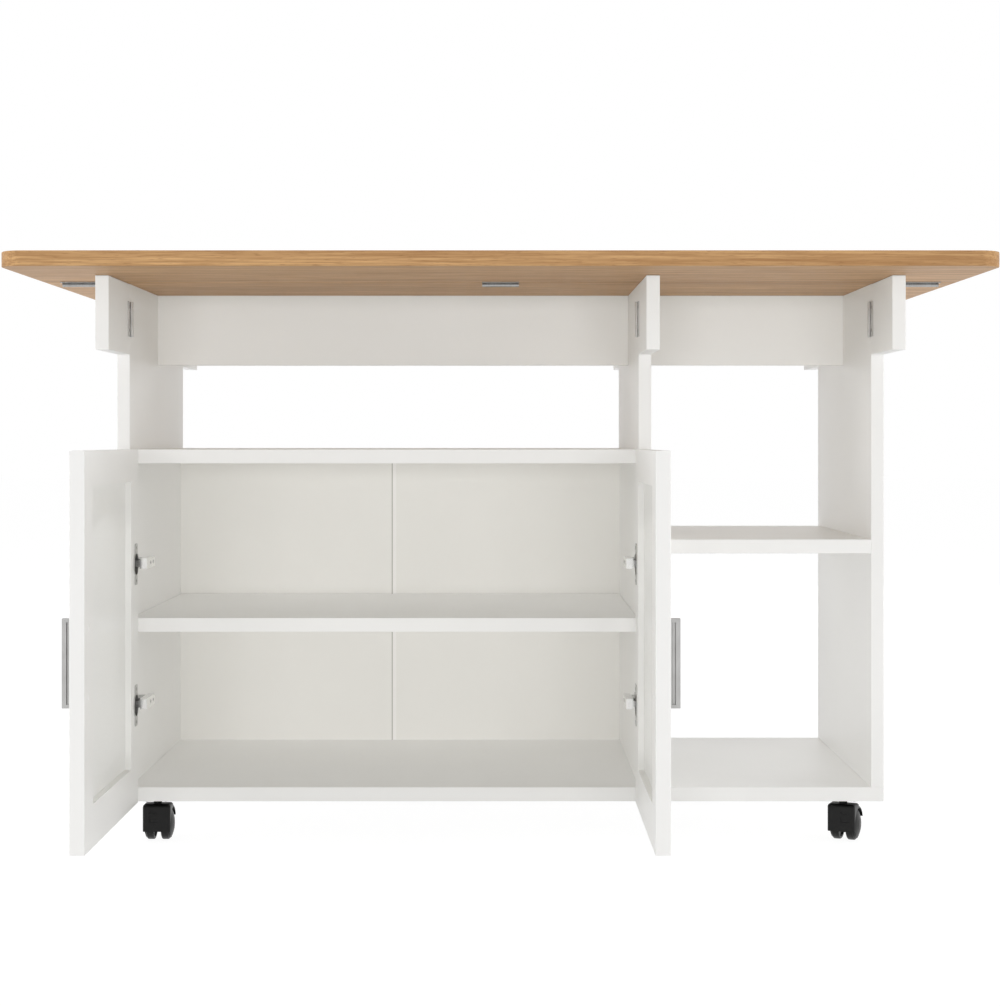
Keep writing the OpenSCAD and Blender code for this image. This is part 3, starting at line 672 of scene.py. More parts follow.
@dataclass(frozen=True)
class Laminate(Finish):
    """Satin surface of one colour, with a fine peel.

    bounce is its plainer colour in scattered light, which keeps the white insides bright.
    """

    colour: Colour = (0.915, 0.91, 0.895)
    shade: Colour = (0.9, 0.895, 0.878)
    rough: float = 0.42
    peel_scale: float = 900.0
    strength: float = 0.12
    specular: float = 0.5
    # the three fields below paint a soft shadow line down the panels' joint, where the joining
    # strip's step would shade them
    seam_shadow_x: float | None = None
    seam_shadow_half_mm: float = 0.8
    seam_shadow: Colour = (0.5, 0.485, 0.45)
    bounce: Colour = (0.98, 0.976, 0.964)

    def dress(self, g: Graph, shader: bpy.types.Node, place: bpy.types.NodeSocket) -> None:
        """Varies colour and gloss a little by the speckle group, and paints a shadow line down
        the panels' joint if one is given.

        Args:
            g: graph of the material.
            shader: its Principled shader.
            place: Object coordinates.
        """
        speckle = use_group(g, speckle_group, {"Vector": place, "Scale": self.peel_scale})
        shader.inputs["Specular IOR Level"].default_value = self.specular
        tone = g.mixed(g.ranged(speckle.outputs["Cloud"], 0.3, 0.7), self.colour, self.shade)
        # painted shadow: a narrow upright band darkened where the joining strip's step shades
        # the panels
        if self.seam_shadow_x is not None:
            line = use_group(g, seam_shadow_group, {"Vector": place, "X": self.seam_shadow_x,
                                             "Half": self.seam_shadow_half_mm * MM})
            tone = g.mixed(line.outputs["Line"], tone, self.seam_shadow)
        g.put(shader.inputs["Base Color"], g.scattered(tone, self.bounce))
        g.put(shader.inputs["Roughness"],
              g.ranged(speckle.outputs["Peel"], 0.3, 0.7, self.rough - 0.04, self.rough + 0.05))
        self.bump(g, shader, speckle.outputs["Peel"], self.strength, 0.08)


@dataclass(frozen=True)
class BrushedMetal(Finish):
    """Nickel or plated steel with brush lines along Z."""

    colour: Colour = (0.56, 0.56, 0.555)
    shade: Colour = (0.46, 0.46, 0.455)
    rough: float = 0.3
    strength: float = 0.18

    def dress(self, g: Graph, shader: bpy.types.Node, place: bpy.types.NodeSocket) -> None:
        """Lets the brush lines drive gloss and bump, and smudges the colour.

        Args:
            g: graph of the material.
            shader: its Principled shader.
            place: Object coordinates.
        """
        brush = use_group(g, brushing_group, {"Vector": place})
        shader.inputs["Metallic"].default_value = 1.0
        g.put(shader.inputs["Base Color"],
              g.mixed(g.ranged(brush.outputs["Smudge"], 0.35, 0.7), self.colour, self.shade))
        g.put(shader.inputs["Roughness"],
              g.ranged(brush.outputs["Lines"], 0.3, 0.7, self.rough - 0.07, self.rough + 0.1))
        self.bump(g, shader, brush.outputs["Lines"], self.strength, 0.05)


@dataclass(frozen=True)
class FlutedGlass(Finish):
    """Milky frosted glass that lets scattered light and shadow rays through."""

    tint: Colour = (0.93, 0.93, 0.915)
    clear: Colour = (0.97, 0.97, 0.96)
    rough: float = 0.3
    through: float = 0.4

    def build(self) -> bpy.types.Material:
        """Mixes the glass with plain transparency for shadow rays and scattered light.

        Returns:
            The material.
        """
        material = super().build()
        g = Graph(material.node_tree)
        nodes = material.node_tree.nodes
        path = g.add("LightPath").outputs
        soft = g.add("Math", {0: path["Is Shadow Ray"], 1: path["Is Diffuse Ray"]},
                     operation="MAXIMUM").outputs[0]
        clear = g.add("BsdfTransparent", {"Color": self.clear})
        mix = g.add("MixShader", {0: soft, 1: nodes["Principled BSDF"].outputs[0],
                                  2: clear.outputs[0]})
        g.put(nodes["Material Output"].inputs["Surface"], mix.outputs[0])
        return material

    def dress(self, g: Graph, shader: bpy.types.Node, place: bpy.types.NodeSocket) -> None:
        """Keeps a plain transmission, and varies tint and gloss by the speckle group.

        Args:
            g: graph of the material.
            shader: its Principled shader.
            place: Object coordinates.
        """
        speckle = use_group(g, speckle_group, {"Vector": place, "Scale": 300.0})
        shader.inputs["Transmission Weight"].default_value = self.through
        shader.inputs["IOR"].default_value = 1.5
        g.put(shader.inputs["Base Color"],
              g.mixed(g.ranged(speckle.outputs["Cloud"], 0.3, 0.7), self.tint,
                      tuple(c * 0.99 for c in self.tint)))
        g.put(shader.inputs["Roughness"],
              g.ranged(speckle.outputs["Peel"], 0.3, 0.7, self.rough, self.rough + 0.05))


@dataclass(frozen=True)
class Lit(Finish):
    """Floor that is white to the camera and to gloss and glass, and keeps a soft shadow."""

    colour: Colour = (0.8, 0.8, 0.8)
    share: float = 0.84
    white: float = 1.12

    def build(self) -> bpy.types.Material:
        """Mixes a diffuse floor with plain white where a camera, gloss or glass ray ends.

        Returns:
            The material.
        """
        material = bpy.data.materials.new(self.name)
        material.use_nodes = True
        material.node_tree.nodes.clear()
        g = Graph(material.node_tree)
        matte = g.add("BsdfDiffuse", {"Color": self.colour})
        white = g.add("Emission", {"Color": (1.0, 1.0, 1.0), "Strength": self.white})
        mix = g.add("MixShader", {0: seen_share(g, self.share), 1: matte.outputs[0],
                                  2: white.outputs[0]})
        out = g.add("OutputMaterial")
        g.put(out.inputs["Surface"], mix.outputs[0])
        return material


def seen_share(g: Graph, share: float) -> bpy.types.NodeSocket:
    """Share for rays from the camera, gloss or glass, and zero for the rest.

    Args:
        g: graph to work in.
        share: the number for those rays.

    Returns:
        The share or zero.
    """
    path = g.add("LightPath").outputs
    both = g.add("Math", {0: path["Is Camera Ray"], 1: path["Is Glossy Ray"]},
                 operation="MAXIMUM").outputs[0]
    seen = g.add("Math", {0: both, 1: path["Is Transmission Ray"]},
                 operation="MAXIMUM").outputs[0]
    return g.add("Math", {0: seen, 1: share}, operation="MULTIPLY").outputs[0]


@dataclass
class Palette:
    """Every finish of the island, made once."""

    # offset of the painted shadow line from the joining strip's left edge
    seam_shadow_inset_mm: float = 0.7
    oak: bpy.types.Material = field(init=False)
    white: bpy.types.Material = field(init=False)
    back: bpy.types.Material = field(init=False)
    strip: bpy.types.Material = field(init=False)
    nickel: bpy.types.Material = field(init=False)
    steel: bpy.types.Material = field(init=False)
    zinc: bpy.types.Material = field(init=False)
    bright: bpy.types.Material = field(init=False)
    cup: bpy.types.Material = field(init=False)
    nylon: bpy.types.Material = field(init=False)
    coated: bpy.types.Material = field(init=False)
    glass: bpy.types.Material = field(init=False)

    def __post_init__(self) -> None:
        """Builds the materials."""
        self.oak = Oak("satin_oak").build()
        self.white = Laminate("white_laminate").build()
        # the back panel and the strip both get a painted shadow line just inside the joining
        # strip's left edge
        seam_shadow_x = corner_of("back_joining_strip")[0][0] + self.seam_shadow_inset_mm * MM
        self.back = Laminate("white_hardboard", colour=(0.88, 0.87, 0.84),
                             shade=(0.86, 0.85, 0.82), rough=0.55, peel_scale=500.0,
                             strength=0.2, seam_shadow_x=seam_shadow_x).build()
        self.strip = Laminate("white_plastic", colour=(0.93, 0.92, 0.9),
                              shade=(0.91, 0.9, 0.88), rough=0.35, peel_scale=1500.0,
                              strength=0.05, seam_shadow_x=seam_shadow_x).build()
        self.nickel = BrushedMetal("brushed_nickel", colour=(0.53, 0.528, 0.52),
                                   shade=(0.46, 0.458, 0.45), rough=0.38).build()
        self.steel = BrushedMetal("plated_steel", colour=(0.44, 0.44, 0.435),
                                  shade=(0.37, 0.37, 0.365), rough=0.28, strength=0.06).build()
        self.zinc = BrushedMetal("zinc_plated_steel", colour=(0.68, 0.68, 0.67),
                                 shade=(0.58, 0.58, 0.57), rough=0.3, strength=0.06).build()
        self.bright = BrushedMetal("bright_nickel", colour=(0.92, 0.92, 0.915),
                                   shade=(0.86, 0.86, 0.855), rough=0.2,
                                   strength=0.03).build()
        self.cup = BrushedMetal("cup_nickel", colour=(0.58, 0.578, 0.57),
                                shade=(0.5, 0.498, 0.49), rough=0.3, strength=0.04).build()
        self.nylon = Laminate("black_nylon", colour=(0.005, 0.005, 0.0048),
                              shade=(0.008, 0.008, 0.0077), rough=0.34, peel_scale=1400.0,
                              strength=0.25, specular=0.24,
                              bounce=(0.006, 0.006, 0.0058)).build()
        self.coated = Laminate("black_coated_steel", colour=(0.014, 0.014, 0.014),
                               shade=(0.02, 0.02, 0.02), rough=0.4, peel_scale=2200.0,
                               strength=0.1, specular=0.3,
                               bounce=(0.017, 0.017, 0.017)).build()
        self.glass = FlutedGlass("fluted_glass").build()


# ---------------------------------------------------------------- sub-assemblies


def corner_of(node: str) -> tuple[np.ndarray, np.ndarray]:
    """Lowest and highest corner of a CAD node."""
    low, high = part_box(node)
    return np.array(low), np.array(high)


def body_name(node: str) -> str:
    """Body that a CAD node moves with."""
    return frame["nodes"][node]["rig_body"]


def joint(name: str) -> dict[str, Any]:
    """Joint of the frame by its name."""
    return next(j for j in frame["joints"] if j["name"] == name)


def wear(node: str, material: bpy.types.Material) -> None:
    """Gives a CAD node a finish in every material slot that it has."""
    for slot in frame["nodes"][node].material_slots:
        slot.material = material


@dataclass
class Boards:
    """The boards of the body, the supports and the worktop, each with eased edges."""

    palette: Palette
    ease_mm: float = 0.8
    top_ease_mm: float = 1.6
    leaf_corner_mm: float = 35.0

    def replace_board(self, node: str, material: bpy.types.Material, ease_mm: float,
                      corners: tuple[float, float, float, float] = (0, 0, 0, 0)
                      ) -> None:
        """Puts an eased board where a CAD board is.

        Args:
            node: the CAD board.
            material: its finish.
            ease_mm: radius of its eased edges.
            corners: plan radii of its corners in millimetres.
        """
        low, high = corner_of(node)
        board = EasedBoard(tuple(low), tuple(high), ease_mm, corners)
        add_piece(f"{node}_eased", board.surface(), material, body_name(node), node)

    def build(self) -> None:
        """Replaces every plain board, and dresses the grooved back panels as they are."""
        turn = self.leaf_corner_mm
        for node, corners in (("worktop_centre", (0, 0, 0, 0)),
                              ("front_leaf", (turn, turn, 0, 0)),
                              ("rear_leaf", (0, 0, turn, turn))):
            self.replace_board(node, self.palette.oak, self.top_ease_mm,
                               corners)
        plain = ["left_side_panel", "right_side_panel", "divider_panel", "left_apron",
                 "right_apron", "bottom_board", "cabinet_top_board", "cabinet_shelf",
                 "open_bay_shelf"]
        plain += [f"{row}_{col}_support" for row in ROWS for col in COLUMNS]
        for node in plain:
            self.replace_board(node, self.palette.white, self.ease_mm)
        wear("left_back_panel", self.palette.back)
        wear("right_back_panel", self.palette.back)
        wear("back_joining_strip", self.palette.strip)
        wear("shelf_pins", self.palette.steel)


@dataclass
class Screws:
    """Gathers screw heads body by body and makes one piece of each body's screws."""

    palette: Palette
    turn_each: float = 0.7
    groups: dict[tuple[str, str], list[Surface]] = field(default_factory=dict)
    placed: int = 0

    def put(self, group: str, body: str, at: Iterable[float], normal: Face,
            screw: CrossScrew) -> None:
        """Seats one screw head, turned turn_each radians further than the last.

        Args:
            group: name of the piece that it is joined to.
            body: the body that it moves with.
            at: its place on the plate.
            normal: direction that the head faces.
            screw: form of the head.
        """
        turn = self.turn_each * self.placed
        self.placed += 1
        up = (0.0, math.sin(turn), math.cos(turn))
        if normal in (Face.FRONT, Face.BACK, Face.UP, Face.DOWN):
            up = (math.cos(turn), math.sin(turn), 0.0)
        surface = screw.surface().moved(axes_for(normal.value, up), at)
        self.groups.setdefault((group, body), []).append(surface)

    def build(self) -> None:
        """Makes the pieces."""
        for (group, body), parts in self.groups.items():
            add_piece(group, joined(parts), self.palette.steel, body)


@dataclass
class ButtHinges:
    """Butt hinges of the supports and of the worktop's leaves.

    A pin stands off_mm from the face that its leaves lie on, a leaf reaches leaf_mm from
    the pin, and its outer screws sit pitch_mm apart.
    """

    palette: Palette
    screws: Screws
    leaf_t_mm: float = 1.5
    support_off_mm: float = 2.9
    support_leaf_mm: float = 18.5
    support_pitch_mm: float = 36.0
    top_off_mm: float = 3.5
    top_leaf_mm: float = 20.0
    top_leaf_l_mm: float = 57.0
    top_pitch_mm: float = 40.0
    head: CrossScrew = CrossScrew(2.9, 0.35, 0.8, 0.4, 1.7)

    def build(self) -> None:
        """Dresses the CAD leaves and seats their screws."""
        wear("support_hinge_fixed_leaves", self.palette.zinc)
        for node in ("worktop_hinge_fixed_leaves", "front_leaf_hinge_leaves",
                     "rear_leaf_hinge_leaves"):
            wear(node, self.palette.steel)
        for row in ROWS:
            for col in COLUMNS:
                wear(f"{row}_{col}_support_hinge", self.palette.zinc)
                self.support_screws(row, col)
            self.top_screws(row)

    def support_screws(self, row: str, col: str) -> None:
        """Seats two screws in each leaf of one support's hinge.

        Args:
            row: front or rear.
            col: left, centre or right.
        """
        pin = np.array(joint(f"{row}_{col}_support_swing")["pos_m"])
        normal = Face.RIGHT if col == "left" else Face.LEFT
        out = normal.value[0]
        inward = 1 if row == "front" else -1
        face_x = pin[0] - out * (self.support_off_mm - self.leaf_t_mm) * MM
        mid = (self.support_off_mm + self.support_leaf_mm) / 2 * MM
        for share, body, name in ((inward, MAIN, "body_hinge_screws"),
                                  (-inward, f"{row}_{col}_swing_support",
                                   f"{row}_{col}_support_screws")):
            for up in (-0.5, 0.5):
                at = (face_x, pin[1] + share * mid, pin[2] + up * self.support_pitch_mm * MM)
                self.screws.put(name, body, at, normal, self.head)

    def top_screws(self, row: str) -> None:
        """Seats three screws in each leaf of one drop leaf's hinges.

        Args:
            row: front or rear.
        """
        pin = np.array(joint(f"{row}_leaf_hinge")["pos_m"])
        inward = 1 if row == "front" else -1
        face_z = pin[2] + (self.top_off_mm - self.leaf_t_mm) * MM
        mid = (self.top_off_mm + self.top_leaf_mm) / 2 * MM
        outer = corner_of(f"{row}_leaf_hinge_leaves")[1][0] - self.top_leaf_l_mm / 2 * MM
        for place in (-outer, 0.0, outer):
            for step in (-0.5, 0.0, 0.5):
                x = place + step * self.top_pitch_mm * MM
                for share, body, name in ((inward, MAIN, "body_hinge_screws"),
                                          (-inward, f"{row}_drop_leaf",
                                           f"{row}_leaf_screws")):
                    self.screws.put(name, body, (x, pin[1] + share * mid, face_z), Face.DOWN,
                                    self.head)


@dataclass
class Doors:
    """The two doors with their glass, handles and concealed hinges.

    With a door closed, the pivot's sizes are from its edge and its inner face. Wings are from
    a hinge's middle height, and plate_gap, plate_back and arm_screws from that inner face.
    """

    palette: Palette
    screws: Screws
    pivot_inset_mm: float = 9.0
    pivot_depth_mm: float = 11.0
    flange_t_mm: float = 1.2
    cup_inset_mm: float = 22.0
    wing_mm: float = 25.5
    plate_back_mm: float = 34.8
    plate_wing_mm: float = 20.0
    plate_t_mm: float = 2.5
    arm_out_mm: float = 35.0
    arm_screws_mm: tuple[float, float] = (24.0, 46.0)
    handle_pitch_mm: float = 96.0
    cup_reach_mm: float = 32.0
    plate_gap_mm: float = 3.0
    cap_r_mm: float = 5.0
    cap_rise_mm: float = 1.2
    cap_foot_mm: float = 0.4
    cap_middle_mm: float = 0.1
    cap_steps: int = 32
    cap_arc_steps: int = 7
    head: CrossScrew = CrossScrew(3.0, 0.5, 0.9, 0.42, 1.8)

    def build(self) -> None:
        """Dresses both doors and what carries them."""
        for side in Side:
            self.dress_door(side)
        wear("door_hinge_arms", self.palette.bright)
        wear("door_hinge_plates", self.palette.steel)

    def dress_door(self, side: Side) -> None:
        """Dresses one door and adds its pane, its screws and the caps over its handle's.

        Args:
            side: the door.
        """
        word, out = side.value, side.inward
        wear(f"{word}_door_frame", self.palette.white)
        wear(f"{word}_door_handle", self.palette.nickel)
        wear(f"{word}_door_hinge_cups", self.palette.cup)
        self.glass(side)
        pin = np.array(joint(f"{word}_door_hinge")["pos_m"])
        door = f"{word}_door"
        way = out.value[0]
        low, high = corner_of(f"{word}_door_frame")
        inner_x = high[0] if side is Side.LEFT else low[0]
        for z in self.hinge_heights(word):
            cup_y = pin[1] - (self.cup_inset_mm - self.pivot_inset_mm) * MM
            for lift in (-1, 1):
                self.screws.put(f"{word}_door_screws", door,
                                (inner_x + way * self.flange_t_mm * MM, cup_y,
                                 z + lift * self.wing_mm * MM), out, self.head)
            self.cabinet_screws(side, z)
        handle_low, handle_high = corner_of(f"{word}_door_handle")
        middle = (handle_low + handle_high) / 2
        cap, basis = turned(self.cap_profile(), self.cap_steps), axes_for(out.value)
        caps = [cap.moved(basis, (inner_x, middle[1],
                                  middle[2] + lift * self.handle_pitch_mm * MM))
                for lift in (-0.5, 0.5)]
        add_piece(f"{word}_handle_screw_caps", joined(caps), self.palette.strip, door)

    def cap_profile(self) -> np.ndarray:
        """Section of a low cap over a handle's screw: a quarter ellipse over a straight foot.

        Returns:
            Rows of (radius, height).
        """
        tilt = np.linspace(0, 0.5 * math.pi, self.cap_arc_steps)[:-1]
        dome = np.stack([self.cap_r_mm * np.cos(tilt), self.cap_rise_mm * np.sin(tilt)], -1)
        return np.vstack([[(self.cap_r_mm, -self.cap_foot_mm)], dome,
                          [(self.cap_middle_mm, self.cap_rise_mm)]]) * MM

    def hinge_heights(self, word: str) -> tuple[float, float]:
        """Heights of a door's two hinges, from the ends of the cups' box.

        Args:
            word: the door's word in the frame's names.

        Returns:
            The lower and the upper height.
        """
        low, high = corner_of(f"{word}_door_hinge_cups")
        reach = self.cup_reach_mm * MM
        return low[2] + reach, high[2] - reach

    def cabinet_screws(self, side: Side, z: float) -> None:
        """Seats the screws of one mounting plate and of the arm on it.

        Args:
            side: the door.
            z: height of the hinge.
        """
        way = side.inward.value[0]
        pin = np.array(joint(f"{side.value}_door_hinge")["pos_m"])
        edge_x = pin[0] - way * self.pivot_inset_mm * MM
        inner_y = pin[1] + self.pivot_depth_mm * MM
        panel = "left_side_panel" if side is Side.LEFT else "divider_panel"
        low, high = corner_of(panel)
        panel_x = high[0] if side is Side.LEFT else low[0]
        plate_y = inner_y + (self.plate_gap_mm + self.plate_back_mm) * MM
        for lift in (-1, 1):
            self.screws.put("body_hinge_screws", MAIN,
                            (panel_x + way * self.plate_t_mm * MM, plate_y,
                             z + lift * self.plate_wing_mm * MM), side.inward, self.head)
        for back in self.arm_screws_mm:
            self.screws.put("body_hinge_screws", MAIN,
                            (edge_x + way * self.arm_out_mm * MM, inner_y + back * MM, z),
                            side.inward, self.head)

    def glass(self, side: Side) -> None:
        """Puts a fluted pane in place of the plain one, flutes outwards and upright.

        Args:
            side: the door.
        """
        node = f"{side.value}_door_glass"
        low, high = corner_of(node)
        outer = Face.LEFT if side is Side.LEFT else Face.RIGHT
        pane = FlutedPane(high[1] - low[1], high[2] - low[2], high[0] - low[0])
        middle = (low + high) / 2
        inner_x = high[0] if side is Side.LEFT else low[0]
        surface = pane.surface().moved(axes_for(outer.value), (inner_x, middle[1], middle[2]))
        add_piece(f"{side.value}_fluted_pane", surface, self.palette.glass, body_name(node),
                  node)


@dataclass(frozen=True)
class CasterWheel:
    """Section of one wheel of a twin-wheel caster, in millimetres.

    Radii are from the axle, and the other sizes run along it: inner and outer are the
    wheel's faces from the caster's middle. A turn is an arc's first and last angle in degrees
    and its number of points.
    """

    radius: float = 25.0
    inner: float = 5.6
    outer: float = 24.0
    middle: float = 0.2
    hub_radii: tuple[float, float] = (7.6, 8.4)
    rim_radii: tuple[float, float, float] = (20.0, 20.8, 22.4)
    dish: float = 2.6
    lip: float = 0.2
    edge: float = 2.4
    edge_turn: tuple[float, float, int] = (-90.0, 0.0, 7)
    tread_ends: tuple[float, float] = (6.0, 9.2)
    shoulder: float = 6.6
    shoulder_rise: float = 2.6
    shoulder_turn: tuple[float, float, int] = (8.0, 76.0, 6)
    dome: float = 6.4
    dome_power: float = 2.2
    face_radii: tuple[float, ...] = (22.2, 21.4, 21.0, 20.6, 20.2, 18.0, 15.0, 12.0, 9.6, 9.2,
                                     8.8, 8.4, 6.0, 3.0, 0.2)
    groove_radii: tuple[float, float] = (21.0, 8.8)
    groove_depth: float = 0.7
    groove_half: float = 0.8

    def profile(self) -> np.ndarray:
        """Section from the bore over the tread to the middle of the outer face.

        The inner face dishes in behind the rim, and the tread is a cylinder with two rounded
        edges. The outer face lies dome (r / R)^power below its middle, less two grooves, near
        the rim and round the hub, whose depth falls evenly to zero at their half width.

        Returns:
            Rows of (radius, distance from the caster's middle) in metres.
        """
        r, inner, outer, edge = self.radius, self.inner, self.outer, self.edge
        deep = inner + self.dish
        inside = [(self.middle, inner), (self.hub_radii[0], inner), (self.hub_radii[1], deep),
                  (self.rim_radii[0], deep), (self.rim_radii[1], inner + self.lip),
                  (self.rim_radii[2], inner)]
        turn = np.radians(np.linspace(*self.edge_turn)[1:])
        inner_edge = np.stack([r - edge + edge * np.cos(turn),
                               inner + edge + edge * np.sin(turn)], -1)
        tread = [(r, inner + self.tread_ends[0]), (r, outer - self.tread_ends[1])]
        turn = np.radians(np.linspace(*self.shoulder_turn))
        rise = self.shoulder_rise
        outer_edge = np.stack([r - edge + edge * np.cos(turn),
                               outer - self.shoulder - rise + rise * np.sin(turn)], -1)
        radii = np.array(self.face_radii)
        off = np.abs(radii[:, None] - np.array(self.groove_radii)).min(1)
        groove = self.groove_depth * np.clip(1 - off / self.groove_half, 0, 1)
        face = np.stack([radii, outer - self.dome * (radii / r) ** self.dome_power - groove],
                        -1)
        return np.vstack([inside, inner_edge, tread, outer_edge, face]) * MM


@dataclass
class Casters:
    """Twin-wheel casters with turned wheels and hoods with rounded upright edges."""

    palette: Palette
    screws: Screws
    steps: int = 72
    plate_z_mm: float = 65.5
    bolt_mm: float = 15.0
    hood_half_mm: float = 22.0
    hood_front_mm: float = 15.0
    hood_corner_mm: float = 4.2
    hood_cuts: tuple[float, float, int] = (0.15, 0.5, 6)
    merge_mm: float = 0.004
    head: CrossScrew = CrossScrew(3.3, 1.0, 1.0, 0.45, 1.9)
    places: tuple[str, ...] = ("front_left", "front_right", "rear_left", "rear_right")

    def build(self) -> None:
        """Makes the wheels and dresses the rest of each caster."""
        wheel = turned(CasterWheel().profile(), self.steps)
        for place in self.places:
            self.soften_hood(place)
            wear(f"{place}_caster_axle", self.palette.steel)
            for part in ("outer", "inner"):
                self.place_wheel(place, part, wheel)
            swivel = np.array(joint(f"{place}_caster_swivel")["pos_m"])
            for x in (-1, 1):
                for y in (-1, 1):
                    at = (swivel[0] + x * self.bolt_mm * MM, swivel[1] + y * self.bolt_mm * MM,
                          self.plate_z_mm * MM)
                    self.screws.put("caster_plate_screws", MAIN, at, Face.DOWN, self.head)
        wear("caster_plates", self.palette.coated)

    def soften_hood(self, place: str) -> None:
        """Replaces a CAD hood by a copy with rounded upright front edges.

        The copy is cut by planes beside each edge, r (1 - cos a) in from the faces, where
        hood_cuts gives the first and last angle a as shares of pi, and their number. In the
        square of a corner with middle c, a point p goes to c + m (p - c) / |p - c|, where m
        is the larger of its two distances from c, so that the square becomes a quarter of a
        disc.

        Args:
            place: the caster's place.
        """
        node = f"{place}_caster_hood"
        hub = np.array(joint(f"{place}_outer_wheel_spin")["pos_m"])
        swivel = np.array(joint(f"{place}_caster_swivel")["pos_m"])
        across = np.array(joint(f"{place}_outer_wheel_spin")["axis"], float)
        back = np.cross((0.0, 0.0, 1.0), across)
        back = back * np.sign((hub - swivel) @ back)
        form = bmesh.new()
        form.from_mesh(frame["nodes"][node].data)
        merge = self.merge_mm * MM
        bmesh.ops.remove_doubles(form, verts=form.verts, dist=merge)
        half, front, r_mm = self.hood_half_mm, self.hood_front_mm, self.hood_corner_mm
        for cut in r_mm * (1 - np.cos(np.linspace(*self.hood_cuts) * math.pi)):
            for normal, reach in ((across, half), (-across, half), (-back, front)):
                bmesh.ops.bisect_plane(form, geom=form.verts[:] + form.edges[:] + form.faces[:],
                                       dist=merge, plane_no=normal,
                                       plane_co=swivel + normal * (reach - cut) * MM)
        bmesh.ops.remove_doubles(form, verts=form.verts, dist=merge)
        bmesh.ops.triangulate(form, faces=form.faces)
        points = np.array([v.co[:] for v in form.verts])
        x = (points - swivel) @ across / MM
        y = (points - swivel) @ back / MM
        out = np.stack([np.abs(x) - (half - r_mm), -y - (front - r_mm)], -1)
        size = np.linalg.norm(out, axis=1)
        pull = np.where((out > 0).all(1), out.max(1) / np.maximum(size, 1e-9), 1.0)[:, None]
        shift = out * (pull - 1.0) * MM
        points += np.sign(x)[:, None] * shift[:, :1] * across - shift[:, 1:] * back
        faces = [[v.index for v in f.verts] for f in form.faces]
        form.free()
        add_piece(f"{place}_soft_hood", Surface(points, faces), self.palette.nylon,
                  body_name(node), node)

    def place_wheel(self, place: str, part: str, wheel: Surface) -> None:
        """Puts a turned wheel where a CAD wheel is.

        Args:
            place: the caster's place.
            part: outer or inner.
            wheel: the wheel about local Z, its outer face upwards.
        """
        node = f"{place}_caster_{part}_wheel"
        spin = joint(f"{place}_{part}_wheel_spin")
        low, high = corner_of(node)
        hub = np.array(spin["pos_m"])
        axis = np.array(spin["axis"], float)
        if ((low + high) / 2 - hub) @ axis < 0:
            axis = -axis
        add_piece(f"{place}_{part}_turned_wheel", wheel.moved(axes_for(axis), hub),
                  self.palette.nylon, body_name(node), node)


# ---------------------------------------------------------------- studio


@dataclass(frozen=True)
class Softbox:
    """A rectangular lamp: its name, its place, its width and height, and its power."""

    name: str
    at: tuple[float, float, float]
    size: tuple[float, float]
    watts: float

    def add(self, target: Iterable[float]) -> None:
        """Adds the lamp, which faces a target and shows only in what it lights.

        Args:
            target: the point that it faces.
        """
        data = bpy.data.lights.new(self.name, "AREA")
        data.shape = "RECTANGLE"
        data.size, data.size_y = self.size
        data.energy = self.watts
        obj = bpy.data.objects.new(self.name, data)
        obj.location = self.at
        basis = axes_for(np.array(self.at) - np.array(target))
        obj.rotation_mode = "QUATERNION"
        obj.rotation_quaternion = Matrix(basis.T.tolist()).to_quaternion()
        obj.visible_camera = obj.visible_glossy = False
        bpy.context.scene.collection.objects.link(obj)


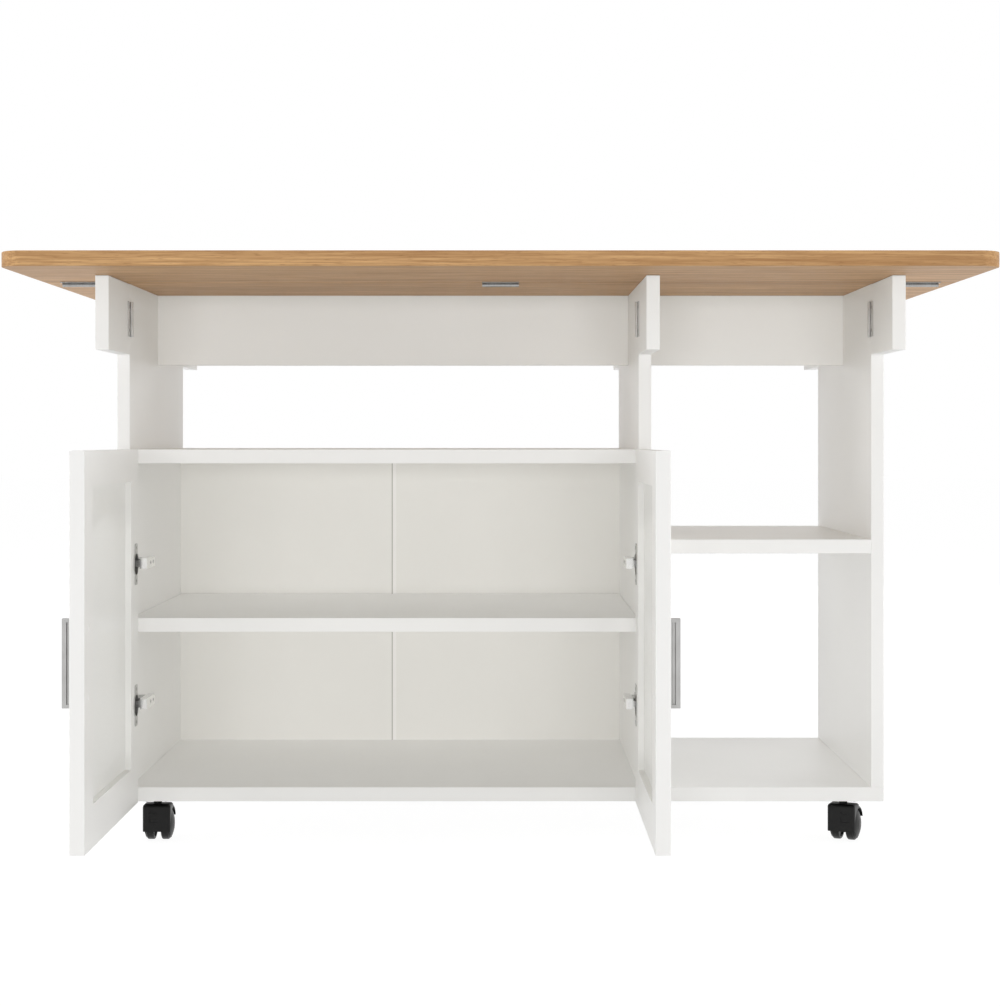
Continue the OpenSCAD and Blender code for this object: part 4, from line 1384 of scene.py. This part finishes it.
@dataclass
class Studio:
    """Floor, lamps, world and camera."""

    camera_y: float = -3.3625
    camera_z: float = 0.6336
    lens_mm: float = 71.86
    shift_x: float = -0.0005
    shift_y: float = -0.0626
    sensor_mm: float = 36.0
    world_light: float = 0.44
    bounces: int = 12
    floor_size: float = 60.0
    floor_drop_mm: float = 0.2
    target: tuple[float, float, float] = (0.0, 0.0, 0.5)
    softboxes: tuple[Softbox, ...] = (
        Softbox("front_softbox", (0.0, -10.0, 0.7), (5.0, 1.2), 280.0),
        Softbox("left_softbox", (-5.2, -1.2, 1.2), (3.2, 2.4), 95.0),
        Softbox("right_softbox", (5.2, -1.2, 1.2), (3.2, 2.4), 95.0),
        Softbox("rear_softbox", (0.0, 5.2, 1.4), (5.0, 2.2), 100.0),
        Softbox("top_softbox", (0.0, 0.0, 4.6), (4.0, 3.0), 70.0))

    def build(self) -> None:
        """Sets the stage round the island."""
        scene = bpy.context.scene
        scene.view_settings.view_transform = "Standard"
        scene.cycles.diffuse_bounces = self.bounces
        self.floor()
        self.world(scene)
        for softbox in self.softboxes:
            softbox.add(self.target)
        self.camera(scene)

    def floor(self) -> None:
        """Plain pale floor just under the wheels."""
        half = self.floor_size / 2
        level = -self.floor_drop_mm * MM
        mesh = bpy.data.meshes.new("floor")
        mesh.from_pydata([(-half, -half, level), (half, -half, level), (half, half, level),
                          (-half, half, level)], [], [(0, 1, 2, 3)])
        mesh.materials.append(Lit("pale_floor").build())
        obj = bpy.data.objects.new("floor", mesh)
        bpy.context.scene.collection.objects.link(obj)

    def world(self, scene: bpy.types.Scene) -> None:
        """Gives white surroundings to the camera, gloss and glass, and less light elsewhere.

        Args:
            scene: the scene to light.
        """
        world = bpy.data.worlds.new("white_studio")
        world.use_nodes = True
        world.node_tree.nodes.clear()
        g = Graph(world.node_tree)
        extra = seen_share(g, 1.0 - self.world_light)
        strength = g.add("Math", {0: extra, 1: self.world_light}, operation="ADD").outputs[0]
        light = g.add("Background", {"Color": (1.0, 1.0, 1.0), "Strength": strength})
        out = g.add("OutputWorld")
        g.put(out.inputs["Surface"], light.outputs[0])
        scene.world = world

    def camera(self, scene: bpy.types.Scene) -> None:
        """Puts a level camera in front of the island, framed as the photograph is.

        Args:
            scene: the scene that it shows.
        """
        data = bpy.data.cameras.new("camera")
        data.lens = self.lens_mm
        data.sensor_width = self.sensor_mm
        data.shift_x, data.shift_y = self.shift_x, self.shift_y
        obj = bpy.data.objects.new("camera", data)
        obj.location = (0.0, self.camera_y, self.camera_z)
        obj.rotation_euler = (math.radians(90.0), 0.0, 0.0)
        scene.collection.objects.link(obj)
        scene.camera = obj


def main() -> None:
    """Builds every sub-assembly in order, then the studio."""
    logging.basicConfig(level=logging.INFO, format="%(name)s: %(message)s")
    palette = Palette()
    screws = Screws(palette)
    Boards(palette).build()
    ButtHinges(palette, screws).build()
    Doors(palette, screws).build()
    Casters(palette, screws).build()
    screws.build()
    Studio().build()


if __name__ == "__main__":
    main()
